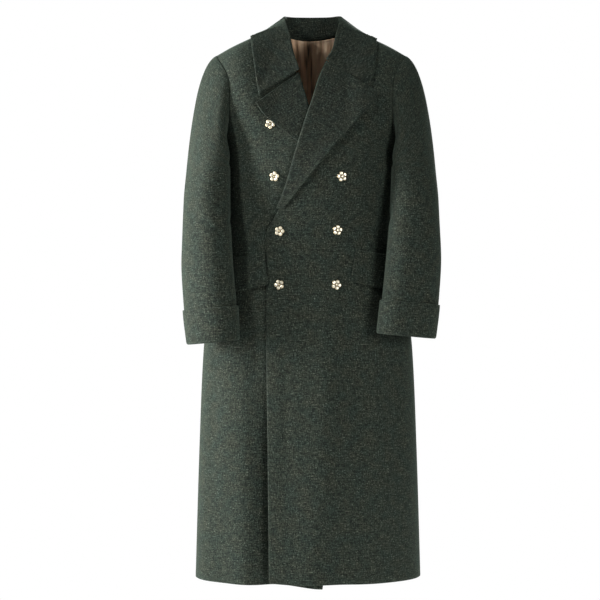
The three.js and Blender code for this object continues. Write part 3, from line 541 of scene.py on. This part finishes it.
def sleeve_creases(hand, angle, z):
    table = SLEEVE_LEFT_CREASES if hand > 0 else SLEEVE_RIGHT_CREASES
    return creases(table, angle * ARM_RADIUS, z) * ease(*CREASES_TOP, z) * ease(*CREASES_END, z)


def sleeve_rows(hand, start, end, count):
    """Rows of the strip of a sleeve between the seams at two angles."""
    angles = np.linspace(start + SEAM_ANGLE, end - SEAM_ANGLE, count)
    angles = (angles[::-1] if hand > 0 else angles)[None, :]
    caps = cap_point(hand, (np.linspace(0, 1, CAP_ROWS) ** CAP_CROWDING)[:, None], angles)
    levels = np.linspace(SLEEVE_TOP, CUFF_LEVEL + CLOTH + LAYER_GAP, ARM_ROWS + 1)[1:, None]
    rows = np.concatenate([caps, sleeve_point(hand, levels, angles, 0)])
    height = sleeve_creases(hand, np.broadcast_to(angles, rows.shape[:2]), rows[..., 2])
    return rows + grid_normals(rows, False) * height[..., None]


# Turned-back cuff: height over its fold and distance out from the sleeve's face
CUFF = [(76.4, 1.2), (76.2, 3.4), (75, 4.5), (70, 4.7), (60, 4.8), (45, 5), (30, 5), (15, 5),
        (7, 5), (3.6, 4.8), (1.6, 4.1), (0.4, 3), (0, 1.8), (0, 0.4), (0.1, -1.4)]
CUFF_COLUMNS = 160


def cuff_rows(hand):
    angle = np.linspace(0, 2 * math.pi, CUFF_COLUMNS, endpoint=False)
    angle = angle[::-1] if hand > 0 else angle
    up = np.array([row[0] for row in CUFF])[:, None]
    out = np.array([row[1] for row in CUFF])[:, None]
    return sleeve_point(hand, CUFF_LEVEL + up, angle[None, :], out)


# Lapels, from the gorge down: the roll line and the outer edge, and how far the edge stands off
LAPEL_LEFT = {
    "i": [0, 1, 2, 3, 4, 5, 6, 7],
    "rollX": [33, 16, 2, -12, -27, -42, -57, -75],
    "rollZ": [-93, -134, -180, -222, -270, -322, -375, -424],
    "edgeX": [147, 131, 109, 86, 53, 15, -23, -60],
    "edgeZ": [-167, -195, -221, -248, -283, -328, -377, -425],
    "rise": [8, 9, 9, 8.5, 7, 5, 2.5, 1],
}
LAPEL_RIGHT = {
    "i": [0, 1, 2, 3, 4, 5, 6],
    "rollX": [28, 21, 13, 4, -5, -15, -25],
    "rollZ": [-117, -140, -168, -197, -226, -256, -290],
    "edgeX": [122.6, 112, 98, 79, 57, 34, 9],
    "edgeZ": [-190, -208, -223, -238, -256, -274, -298],
    "rise": [6, 6, 5, 5, 2.5, 0, 0],
}
ROLL_RADIUS = 4.7
ROLL_COLUMNS = 15
ROLL_PROBE = 6                # how far past the roll line the lapel's way across is read
FACING_REACH = 13             # how far the facing runs on under the roll
LAPEL_ROWS = 110
LAPEL_COLUMNS = 46


def flat_lift(x, z):
    return np.zeros(np.broadcast(x, z).shape)


def lapel_rows(hand, table, lift):
    last = table["i"][-1]
    at = np.linspace(0, last, LAPEL_ROWS)[:, None]
    roll_x, roll_z, edge_x, edge_z, rise = (
        smooth_line(table, "i", key)(at) for key in ("rollX", "rollZ", "edgeX", "edgeZ", "rise"))
    wide = np.hypot(edge_x - roll_x, edge_z - roll_z)
    x0 = hand * roll_x
    near = ROLL_PROBE / wide
    x1, z1 = hand * mix(roll_x, edge_x, near), mix(roll_z, edge_z, near)
    roll = on_body(x0, roll_z, -1, 0.0)
    across = unit(on_body(x1, z1, -1, 0.0) - roll)
    out = surface_normal(x0, roll_z, -1)
    middle = (lift(x1, z1) - CLOTH / 2)[..., None]
    turns = np.radians(np.linspace(270, 90, ROLL_COLUMNS))[None, :, None]
    turned = (roll + across * ROLL_RADIUS * (1 + np.cos(turns))
              + out * (middle + ROLL_RADIUS * np.sin(turns)))
    behind = roll + across * FACING_REACH + out * (middle - ROLL_RADIUS)
    t = np.linspace(0, 1, LAPEL_COLUMNS + 1)[None, 1:]
    reach = mix(ROLL_RADIUS / wide, 1, t)
    x, z = hand * mix(roll_x, edge_x, reach), mix(roll_z, edge_z, reach)
    laid = on_body(x, z, -1, lift(x, z) + ROLL_RADIUS - CLOTH / 2 + rise * t ** 3)
    rows = np.concatenate([behind, turned, laid], axis=1)
    return rows if hand > 0 else rows[:, ::-1]


# Collar, from the centre back to each front end: the neck seam, the fold and the outer edge
COLLAR_LEFT = {
    "i": [0, 1, 2, 3, 4, 5, 6, 7],
    "seamX": [0, 38, 63, 75, 69.5, 61, 51, 39],
    "seamZ": [-19, -15, -9, -4, -18, -38, -63, -88],
    "foldX": [0, 38, 58, 66, 65, 57, 49, 34],
    "foldY": [72, 62, 38, 12, -14, -38, -60, -80],
    "foldZ": [31, 30, 28, 23, 6, -24, -58, -86],
    "edgeX": [0, 66, 114, 144, 147, 147, 143, 132.6],
    "edgeY": [100, 96, 66, 25, -14, -46, -74, -104],
    "edgeZ": [-50, -46, -38, -28, -31, -62, -104, -151],
}
COLLAR_RIGHT = {
    "i": [0, 1, 2, 3, 4, 5, 6, 7],
    "seamX": [0, 38, 63, 75, 69.5, 59, 46, 32],
    "seamZ": [-19, -15, -9, -4, -18, -42, -74, -108],
    "foldX": [0, 38, 58, 60, 56, 47, 39, 27],
    "foldY": [72, 62, 38, 12, -14, -40, -66, -90],
    "foldZ": [31, 30, 28, 20, 2, -32, -70, -110],
    "edgeX": [0, 66, 114, 134, 136, 133, 126, 117.6],
    "edgeY": [100, 96, 66, 25, -14, -48, -82, -108],
    "edgeZ": [-50, -46, -38, -24, -29, -68, -118, -169],
}
COLLAR_COLUMNS = 84           # from the centre back to each end
COLLAR_TURN = 4.2             # radius of the fold
STAND_ROWS = 9
FALL_ROWS = 25
TURN_DEGREES = range(18, 180, 18)
OVER_STEPS = 6
RIDGE_PROBE = 2               # how far under the shoulder line its slope is read


def over_body(point, space):
    """Moves points out until they are the given height over the shoulders or the chest."""
    for _ in range(OVER_STEPS):
        x, y, z = point[..., 0], point[..., 1], point[..., 2]
        side = np.where(y < 0, -1.0, 1.0)
        ridge = ridge_z(x)
        low = surface_normal(x, ridge - RIDGE_PROBE, side)
        beyond = (z - ridge) * np.abs(low[..., 2]) + np.abs(y) * np.abs(low[..., 1])
        raised = point + np.array([0, 0, 1.0]) * np.maximum(space - beyond, 0)[..., None]
        normal = surface_normal(x, z, side)
        distance = (y - surface_y(x, z, side)) * normal[..., 1]
        moved = point + normal * np.maximum(space - distance, 0)[..., None]
        point = np.where((z > ridge)[..., None], raised, moved)
    return point


def collar_half(hand):
    table = COLLAR_LEFT if hand > 0 else COLLAR_RIGHT
    at = np.linspace(0, 7, COLLAR_COLUMNS + 1)
    get = {key: smooth_line(table, "i", key)(at) for key in table if key != "i"}
    seam_x = hand * get["seamX"]
    side = np.where(at < 3, 1.0, -1.0)
    seam = np.stack([seam_x, surface_y(seam_x, get["seamZ"], side), get["seamZ"]], -1)
    fold = np.stack([hand * get["foldX"], get["foldY"], get["foldZ"]], -1)
    edge = np.stack([hand * get["edgeX"], get["edgeY"], get["edgeZ"]], -1)
    to_seam, to_edge = unit(seam - fold), unit(edge - fold)
    up = -unit(to_seam + to_edge)
    out = unit(to_edge - up * np.sum(to_edge * up, axis=-1, keepdims=True))

    def bend(a, b):
        return fold + out * a * COLLAR_TURN + up * (b - 1) * COLLAR_TURN
    inside, outside = bend(-1, 0), bend(1, 0)
    stand = [mix(seam, inside, t) for t in np.linspace(0, 1, STAND_ROWS)]
    turned = [bend(-math.cos(a), math.sin(a)) for a in np.radians(TURN_DEGREES)]
    fall = []
    for t in np.linspace(0, 1, FALL_ROWS):
        point = mix(outside, edge, t)
        lift = left_lift(point[..., 0], point[..., 2])
        lift = np.where((point[..., 1] < 0) & (hand > 0), lift, 0)
        fall.append(over_body(point, np.maximum(lift, 0) + CLOTH + LAYER_GAP + 1 + t))
    return np.stack(stand + turned + fall)


def collar_rows():
    return np.concatenate([collar_half(1)[:, :0:-1], collar_half(-1)], axis=1)


# Pocket flaps: front and back ends of the upper and the lower edge, seen from the front
FLAP_LEFT = {
    "front": (98, -519), "frontLow": (86, -591), "back": (183, -530), "backLow": (196, -612),
}
FLAP_RIGHT = {
    "front": (104, -527), "frontLow": (93, -598), "back": (183, -538), "backLow": (196, -616),
}
FLAP_HEIGHT = 72
FLAP_CORNER = 10              # radius of its lower front corner
FLAP_RISE = 2.2               # how far its lower edge stands off
FLAP_BACK = 1.5               # and its back end
FLAP_ROWS = 40
FLAP_COLUMNS = 60
FLAP_OVERLAP = (-135, -112)   # between these the right flap rises onto the left front's height
FLAP_SPACE = 0.4              # between the right flap and the front under it


def right_flap_lift(x, z):
    """Height under the right flap, which is the same at every level z."""
    return OVER_SKIRT * ease(*FLAP_OVERLAP, x) + FLAP_SPACE


def flap_rows(hand, place, lift):
    down = np.linspace(0, 1, FLAP_ROWS)[:, None]
    t = np.linspace(0, 1, FLAP_COLUMNS)[None, :]
    near = np.clip(1 - FLAP_HEIGHT * (1 - down) / FLAP_CORNER, 0, 1)
    rounding = FLAP_CORNER * (1 - np.sqrt(1 - near ** 2)) * (1 - t) ** 8
    x, z = (mix(mix(place["front"][k], place["frontLow"][k], down),
                mix(place["back"][k], place["backLow"][k], down), t) for k in (0, 1))
    x = hand * (x + rounding)
    stand_off = LAYER_GAP + CLOTH + FLAP_RISE * down + FLAP_BACK * t * t
    rows = on_body(x, z, -1, lift(x, z) + stand_off)
    return rows if hand > 0 else rows[:, ::-1]


# Lining of the back, with soft folds hanging from the neck seam: place, half width and height.
# Each kind drifts sideways on its way down, per millimetre.
LINING_FOLDS = [(-44, 6, 2.2), (-28, 5, 3.2), (-11, 6, 4), (5, 5, 3), (20, 6, 3.6), (38, 6, 2.4)]
LINING_FINE = [(-53, 3, 0.8), (-36, 3, -0.7), (-20, 2.6, 0.8), (-3, 2.5, -0.9), (12, 2.6, 0.8),
               (29, 3, 0.9), (47, 3, 0.7), (58, 4, 1)]
FOLDS_DRIFT = 0.02
FINE_DRIFT = -0.03
FOLDS_BEGIN = 25              # over this drop the folds begin
FOLDS_FADE = (250, 700)       # between these drops they fade
FOLDS_LOST = 0.7              # by this share
LINING_TOP = 3.5              # how far below the neck seam it begins
LINING_CORNER = 4             # and how much lower at the shoulders
CORNER_FROM = 50              # from here to the side of the neck
LINING_SPACE = 2.4            # behind it, to the back's wall
LINING_NECK = 220             # above this drop its rows follow the neck seam
LINING_LEVELS = (228, 1130)   # first and last of its level rows
LINING_HALF = (92, 165)       # half width at the neck and below
LINING_WIDENS = 500           # over this drop
NECK_ROWS, LEVEL_ROWS, LINING_COLUMNS = 60, 110, 181
NECK_CROWDING = 1.3           # crowds the first rows towards the neck
MIDDLE_CROWDING = 1.35        # crowds the columns towards the middle


def hung_folds(table, drift, x, down):
    return sum(high * np.exp(-((x - at - drift * down) / wide) ** 2) for at, wide, high in table)


def lining_rows():
    down = np.concatenate([LINING_NECK * np.linspace(0, 1, NECK_ROWS) ** NECK_CROWDING,
                           np.linspace(*LINING_LEVELS, LEVEL_ROWS)])[:, None]
    half = mix(*LINING_HALF, ease(0, LINING_WIDENS, down))
    even = np.linspace(1, -1, LINING_COLUMNS)[None, :]
    x = half * np.sign(even) * np.abs(even) ** MIDDLE_CROWDING
    top = (mix(neck_top(x), -NAPE_DROP, ease(0, LINING_NECK, down)) - LINING_TOP
           - LINING_CORNER * ease(CORNER_FROM, NECK_HALF, np.abs(x)) - down)
    z = np.where(down <= LINING_NECK, top, -down)
    folds = (hung_folds(LINING_FOLDS, FOLDS_DRIFT, x, down)
             + hung_folds(LINING_FINE, FINE_DRIFT, x, down))
    hang = ease(0, FOLDS_BEGIN, down) * (1 - FOLDS_LOST * ease(*FOLDS_FADE, down))
    inward = CLOTH + LINING_SPACE + np.maximum(folds, 0) * hang
    return on_body(x, z, 1, back_lift(x, z) - inward)


# Buttons: place seen from the front, and the turn of the flower
BUTTONS = [
    ("button_right_1", -92, -237, "right", 0.3), ("button_right_2", -82, -354.6, "right", 0.1),
    ("button_left_1", 65.7, -354.6, "left", 0.5), ("button_left_2", -69.7, -476.7, "left", 0.2),
    ("button_left_3", 56.9, -474.4, "left", 0.9), ("button_left_4", -70.9, -596.6, "left", 0.7),
    ("button_left_5", 54.8, -596.6, "left", 0.0),
]
PETALS = 5
PETAL_NOTCH = 0.2             # share of the radius that is missing between two petals
GROOVE_DEPTH = 0.7            # groove between two petals
GROOVE_GROWS = (0.35, 0.7)    # between these shares of the radius
BUTTON_RADIUS = 11.2
BUTTON_GAP = 0.65             # from the cloth to the button's back
BUTTON_AROUND = 100
# Height and share of the radius, from the back to the middle of the face
BUTTON_RINGS = [(0, 0.05), (0, 0.62), (0.4, 0.8), (1, 0.92), (1.7, 0.98), (2.3, 0.99), (2.8, 0.95),
                (3.2, 0.86), (3.45, 0.74), (3.4, 0.62), (3, 0.5), (2.4, 0.4), (2.1, 0.34),
                (2.5, 0.3), (3.1, 0.26), (3.5, 0.18), (3.6, 0.09)]


def add_button(name, x, z, lift, turn, material):
    angle = np.linspace(0, 2 * math.pi, BUTTON_AROUND, endpoint=False)
    wave = np.abs(np.sin(PETALS * (angle + turn) / 2))
    points = []
    for high, share in BUTTON_RINGS:
        petal = 1 - PETAL_NOTCH * share * wave ** 3
        groove = GROOVE_DEPTH * wave ** 10 * ease(*GROOVE_GROWS, share) * (high > 1)
        radius = BUTTON_RADIUS * share * petal
        points.append(np.stack([radius * np.cos(angle), radius * np.sin(angle),
                                np.full_like(angle, high) - groove], axis=-1))
    normal = surface_normal(x, z, -1)
    origin = on_body(x, z, -1, float(lift(x, z)) + BUTTON_GAP)
    turned = Vector((0, 0, 1)).rotation_difference(Vector(normal)).to_matrix()
    flat = np.concatenate(points) @ np.array(turned).T + origin
    count = len(BUTTON_RINGS)
    index = np.arange(count * BUTTON_AROUND).reshape(count, BUTTON_AROUND)
    following = np.roll(index, -1, axis=1)
    faces = np.stack([index[:-1], following[:-1], following[1:], index[1:]], axis=-1).reshape(-1, 4)
    mesh = bpy.data.meshes.new(name + "_metal")
    caps = [index[0, ::-1].tolist(), index[-1].tolist()]
    mesh.from_pydata((flat * MM).tolist(), [], faces.tolist() + caps)
    corners = np.concatenate([faces.ravel(), np.array(caps).ravel()])
    rings = np.array([ring for ring in range(count) for _ in range(BUTTON_AROUND)])
    petal_place = np.stack([rings / (count - 1), np.tile(wave, count)], axis=-1)
    layer = mesh.uv_layers.new(name="petals")
    layer.data.foreach_set("uv", petal_place[corners].ravel())
    mesh.polygons.foreach_set("use_smooth", [True] * len(mesh.polygons))
    mesh.materials.append(material)
    button = bpy.data.objects.new(name + "_metal", mesh)
    bpy.context.scene.collection.objects.link(button)
    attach(button, "root")
    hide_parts(name)


# Materials

def new_material(name):
    material = bpy.data.materials.new(name)
    material.use_nodes = True
    tree = material.node_tree
    return material, tree, tree.nodes["Principled BSDF"]


def add_node(tree, kind, **settings):
    node = tree.nodes.new(kind)
    for key, value in settings.items():
        if hasattr(node, key):
            setattr(node, key, value)
        else:
            node.inputs[key].default_value = value
    return node


def ramp(tree, source, stops):
    node = tree.nodes.new("ShaderNodeValToRGB")
    elements = node.color_ramp.elements
    while len(elements) < len(stops):
        elements.new(0.5)
    for element, (at, colour) in zip(elements, stops):
        element.position = at
        element.color = (*colour, 1)
    tree.links.new(source, node.inputs["Fac"])
    return node.outputs["Color"]


def multiply_colours(tree, a, b):
    node = tree.nodes.new("ShaderNodeMix")
    node.data_type = "RGBA"
    node.blend_type = "MULTIPLY"
    node.inputs[0].default_value = 1.0
    tree.links.new(a, node.inputs[6])
    tree.links.new(b, node.inputs[7])
    return node.outputs[2]


def math_node(tree, operation, *values):
    node = tree.nodes.new("ShaderNodeMath")
    node.operation = operation
    for socket, value in zip(node.inputs, values):
        if hasattr(value, "is_linked"):
            tree.links.new(value, socket)
        else:
            socket.default_value = value
    return node.outputs[0]


# Colours of the wool; the stops of the yarn, the broad shades and the twill multiply them
WOOL_BASE = (0.0135, 0.0190, 0.0138)
WOOL_LIGHT = (0.072, 0.088, 0.070)
WOOL_DARK = (0.0022, 0.0036, 0.0026)
FLECK_STOPS = [(0.36, WOOL_DARK), (0.47, WOOL_BASE), (0.56, WOOL_BASE), (0.68, WOOL_LIGHT)]
YARN_STOPS = [(0.38, (0.4, 0.43, 0.41)), (0.62, (1.95, 1.88, 1.82))]
BROAD_STOPS = [(0.32, (0.84, 0.94, 0.98)), (0.68, (1.16, 1.03, 0.98))]
TWILL_STOPS = [(0.0, (0.82, 0.82, 0.82)), (1.0, (1.16, 1.16, 1.16))]
WARP_STRETCH = (1.0, 0.24, 1.0)
WEFT_STRETCH = (0.24, 1.0, 1.0)
HERRINGBONE_BAND = 0.0065     # width of a band, in metres
TWILL_PITCH = 0.0021          # between two slanting lines, in metres


def wool(name, shade):
    """Flecked herringbone wool: fine bands of slanting yarn, mottled green and grey."""
    material, tree, shader = new_material(name)
    uv = add_node(tree, "ShaderNodeUVMap", uv_map="cloth")
    place = uv.outputs["UV"]
    fleck = add_node(tree, "ShaderNodeTexNoise", Scale=330.0, Detail=3.0, Roughness=0.7)
    warp = add_node(tree, "ShaderNodeTexNoise", Scale=340.0, Detail=1.0, Roughness=0.5)
    weft = add_node(tree, "ShaderNodeTexNoise", Scale=300.0, Detail=1.0, Roughness=0.5)
    broad = add_node(tree, "ShaderNodeTexNoise", Scale=32.0, Detail=2.0, Roughness=0.5)
    for node in (fleck, broad):
        tree.links.new(place, node.inputs["Vector"])
    for node, stretch in ((warp, WARP_STRETCH), (weft, WEFT_STRETCH)):
        stretched = add_node(tree, "ShaderNodeMapping", Scale=stretch)
        tree.links.new(place, stretched.inputs["Vector"])
        tree.links.new(stretched.outputs["Vector"], node.inputs["Vector"])
    split = add_node(tree, "ShaderNodeSeparateXYZ")
    tree.links.new(place, split.inputs[0])
    zigzag = math_node(tree, "PINGPONG", split.outputs["X"], HERRINGBONE_BAND)
    slant = math_node(tree, "ADD", zigzag, split.outputs["Y"])
    turns = math_node(tree, "MULTIPLY", slant, 2 * math.pi / TWILL_PITCH)
    twill = math_node(tree, "ADD", math_node(tree, "SINE", turns), 1.0)
    twill = math_node(tree, "MULTIPLY", twill, 0.5)
    yarn = math_node(tree, "ADD", warp.outputs["Fac"], weft.outputs["Fac"])
    yarn = math_node(tree, "MULTIPLY", yarn, 0.5)
    coloured = ramp(tree, fleck.outputs["Fac"],
                    [(at, tuple(value * shade for value in colour)) for at, colour in FLECK_STOPS])
    for source, stops in ((yarn, YARN_STOPS), (broad.outputs["Fac"], BROAD_STOPS),
                          (twill, TWILL_STOPS)):
        coloured = multiply_colours(tree, coloured, ramp(tree, source, stops))
    tree.links.new(coloured, shader.inputs["Base Color"])
    relief = math_node(tree, "ADD", math_node(tree, "MULTIPLY", twill, 0.5), fleck.outputs["Fac"])
    bump = add_node(tree, "ShaderNodeBump", Strength=0.35, Distance=0.0006)
    tree.links.new(relief, bump.inputs["Height"])
    tree.links.new(bump.outputs["Normal"], shader.inputs["Normal"])
    shader.inputs["Roughness"].default_value = 0.92
    shader.inputs["Specular IOR Level"].default_value = 0.2
    shader.inputs["Sheen Weight"].default_value = 0.12
    shader.inputs["Sheen Roughness"].default_value = 0.5
    shader.inputs["Sheen Tint"].default_value = (0.5, 0.7, 0.55, 1)
    return material


# Stops of the lining's brown; the dark stops are painted shade and the light ones painted
# highlight, drawn by the stretch into streaks down the cloth.
SATIN_BROWN_PAINTED_SHADE_HIGHLIGHT_STOPS = [(0.36, (0.05, 0.03, 0.018)), (0.43, (0.5, 0.31, 0.18)),
               (0.52, (0.8, 0.53, 0.33)), (0.66, (0.92, 0.68, 0.46))]
SATIN_STRETCH = (5.0, 0.45, 1.0)


def satin(name):
    """Brown satin lining: smooth; streaks of painted shade and painted highlight stand in for the
    shade and soft shine of its folds.
    """
    material, tree, shader = new_material(name)
    uv = add_node(tree, "ShaderNodeUVMap", uv_map="cloth")
    noise = add_node(tree, "ShaderNodeTexNoise", Scale=14.0, Detail=2.0, Roughness=0.5)
    stretch = add_node(tree, "ShaderNodeMapping", Scale=SATIN_STRETCH)
    tree.links.new(uv.outputs["UV"], stretch.inputs["Vector"])
    tree.links.new(stretch.outputs["Vector"], noise.inputs["Vector"])
    coloured = ramp(tree, noise.outputs["Fac"], SATIN_BROWN_PAINTED_SHADE_HIGHLIGHT_STOPS)
    tree.links.new(coloured, shader.inputs["Base Color"])
    shader.inputs["Roughness"].default_value = 0.42
    shader.inputs["Specular IOR Level"].default_value = 0.5
    shader.inputs["Anisotropic"].default_value = 0.4
    return material


# Gold is the metal's own colour. The cream on the faces of the petals and on the top of the middle
# is painted highlight; the brown on the back and lower sides, in the sunken ring round the middle
# and in the grooves between the petals is painted shade.
PAINTED_SHADE_BROWN, GOLD, PAINTED_HIGHLIGHT_CREAM = (0.03, 0.018, 0.006), (0.5, 0.38, 0.17), (0.86, 0.81, 0.64)
# From the button's back to the middle of its face, and from a petal's middle to its groove
RING_STOPS = [(0.0, PAINTED_SHADE_BROWN), (0.3, GOLD), (0.5, PAINTED_HIGHLIGHT_CREAM), (0.68, PAINTED_HIGHLIGHT_CREAM), (0.76, PAINTED_SHADE_BROWN),
              (0.86, PAINTED_SHADE_BROWN), (0.93, GOLD), (1.0, PAINTED_HIGHLIGHT_CREAM)]
GROOVE_PAINTED_SHADE_STOPS = [(0.84, (1, 1, 1)), (0.99, (0.16, 0.11, 0.05))]


def metal(name):
    """Pale gilt metal: the gold is its own colour, the cream on its faces is painted highlight, and
    the brown in the grooves between the petals, in the ring round the middle and on its back is
    painted shade.
    """
    material, tree, shader = new_material(name)
    petals = add_node(tree, "ShaderNodeUVMap", uv_map="petals")
    split = add_node(tree, "ShaderNodeSeparateXYZ")
    tree.links.new(petals.outputs["UV"], split.inputs[0])
    rings = ramp(tree, split.outputs["X"], RING_STOPS)
    # Brown towards the grooves between the petals: painted shade.
    grooves = ramp(tree, split.outputs["Y"], GROOVE_PAINTED_SHADE_STOPS)
    tree.links.new(multiply_colours(tree, rings, grooves), shader.inputs["Base Color"])
    shader.inputs["Metallic"].default_value = 0.55
    shader.inputs["Roughness"].default_value = 0.3
    return material


wool_main = wool("wool_main", 0.93)
# The same wool made darker for the collar and the lapels: this darker copy is painted shade.
wool_painted_shade = wool("wool_painted_shade", 0.74)
lining_satin = satin("lining_satin")
button_metal = metal("button_metal")



def add_wool(node, rows, material=wool_main, wrapped=False):
    add_mesh(node + "_cloth", rows, CLOTH, material, [node], wrapped)


# Body, with the columns of each panel
FRONT_LEFT_COLUMNS, FRONT_RIGHT_COLUMNS, BACK_COLUMNS = 150, 130, 90
add_wool("front_left", panel_rows(1, -1, FRONT_LEFT_COLUMNS, left_edge, ridge_z, left_lift,
                                  left_hem, FRONT_LEFT_CREASES))
add_wool("front_right", panel_rows(-1, -1, FRONT_RIGHT_COLUMNS, right_edge, ridge_z, right_lift,
                                   right_hem, FRONT_RIGHT_CREASES))
add_wool("back_left", panel_rows(1, 1, BACK_COLUMNS, lambda z: lean_x(z) + SEAM_GAP / 2, neck_top,
                                 back_lift, back_hem, BACK_CREASES))
add_wool("back_right", panel_rows(-1, 1, BACK_COLUMNS, lambda z: SEAM_GAP / 2 - lean_x(z), neck_top,
                                  back_lift, back_hem, BACK_CREASES))

# Sleeves and cuffs, with the columns of each strip
for hand, side in ((1, "left"), (-1, "right")):
    for part, start, end, count in (("top", BACK_SEAM, FRONT_SEAM, 120),
                                    ("under", FRONT_SEAM, BACK_SEAM + 2 * math.pi, 60)):
        add_wool(f"sleeve_{side}_{part}", sleeve_rows(hand, start, end, count))
    add_wool(f"cuff_{side}", cuff_rows(hand), wrapped=True)

# Lapels, collar, flaps and lining
# The lapels and the collar take the darker copy of the wool, which is painted shade.
add_wool("lapel_left", lapel_rows(1, LAPEL_LEFT, left_lift), wool_painted_shade)
add_wool("lapel_right", lapel_rows(-1, LAPEL_RIGHT, flat_lift), wool_painted_shade)
add_wool("collar", collar_rows(),
         wool_painted_shade)
add_wool("flap_left", flap_rows(1, FLAP_LEFT, left_lift))
add_wool("flap_right", flap_rows(-1, FLAP_RIGHT, right_flap_lift))
add_mesh("lining_back_cloth", lining_rows(), LINING_CLOTH, lining_satin,
         ["lining_back"])

for name, x, z, front, turn in BUTTONS:
    add_button(name, x, z, left_lift if front == "left" else right_lift, turn, button_metal)

# Floor, light and camera
FLOOR_RADIUS = 1.6
FLOOR_CORNERS = 96
FLOOR_LEVEL = -1.62
floor_mesh = bpy.data.meshes.new("floor")
around = [2 * math.pi * i / FLOOR_CORNERS for i in range(FLOOR_CORNERS)]
floor_rim = [(FLOOR_RADIUS * math.cos(a), FLOOR_RADIUS * math.sin(a), 0) for a in around]
floor_mesh.from_pydata(floor_rim, [], [tuple(range(FLOOR_CORNERS))])
floor = bpy.data.objects.new("floor", floor_mesh)
floor.location.z = FLOOR_LEVEL
bpy.context.scene.collection.objects.link(floor)
floor_look, _, floor_shader = new_material("floor_white")
floor_shader.inputs["Base Color"].default_value = (0.9, 0.9, 0.9, 1)
floor_shader.inputs["Roughness"].default_value = 1.0
floor_shader.inputs["Emission Color"].default_value = (1, 1, 1, 1)
floor_shader.inputs["Emission Strength"].default_value = 0.45
floor_shader.inputs["Specular IOR Level"].default_value = 0.0
floor_mesh.materials.append(floor_look)

world = bpy.data.worlds.new("studio")
bpy.context.scene.world = world
world.use_nodes = True
soft_sky = world.node_tree.nodes["Background"]
soft_sky.inputs["Color"].default_value = (1, 1, 1, 1)
soft_sky.inputs["Strength"].default_value = 0.07
white_sky = add_node(world.node_tree, "ShaderNodeBackground", Color=(1, 1, 1, 1), Strength=1.0)
seen = add_node(world.node_tree, "ShaderNodeLightPath")
sky = add_node(world.node_tree, "ShaderNodeMixShader")
world.node_tree.links.new(seen.outputs["Is Camera Ray"], sky.inputs[0])
world.node_tree.links.new(soft_sky.outputs[0], sky.inputs[1])
world.node_tree.links.new(white_sky.outputs[0], sky.inputs[2])
world.node_tree.links.new(sky.outputs[0], world.node_tree.nodes["World Output"].inputs["Surface"])
bpy.context.scene.view_settings.view_transform = "Standard"


def area_light(name, place, target, size, power):
    light = bpy.data.lights.new(name, "AREA")
    light.shape = "RECTANGLE"
    light.size, light.size_y = size
    light.energy = power
    lamp = bpy.data.objects.new(name, light)
    lamp.location = place
    lamp.rotation_euler = (Vector(target) - Vector(place)).to_track_quat("-Z", "Y").to_euler()
    bpy.context.scene.collection.objects.link(lamp)


# Place, point it shines at, width and height in metres, and power in watts
area_light("key_light", (-1.9, -0.3, -0.45), (-0.2, -0.1, 0.35), (0.5, 1.0), 112)
area_light("fill_light", (1.6, -2.4, -0.35), (0, 0, -0.9), (0.8, 0.8), 48)
area_light("top_light", (-2.1, -1.9, 1.3), (0, 0, -0.6), (0.35, 0.35), 62)
area_light("back_light", (0.9, 3.2, 0.9), (0, 0, -0.6), (1.0, 1.0), 120)

# The camera looks level from in front; lens and place are fitted to the photo's outline
CAMERA_LENS = 104.35
CAMERA_PLACE = (-0.0253, -4.0, -0.63)
camera_data = bpy.data.cameras.new("camera")
camera_data.sensor_width = 36
camera_data.lens = CAMERA_LENS
camera_data.clip_end = 100
camera = bpy.data.objects.new("camera", camera_data)
camera.location = CAMERA_PLACE
camera.rotation_euler = (math.radians(90), 0, 0)
bpy.context.scene.collection.objects.link(camera)
bpy.context.scene.camera = camera
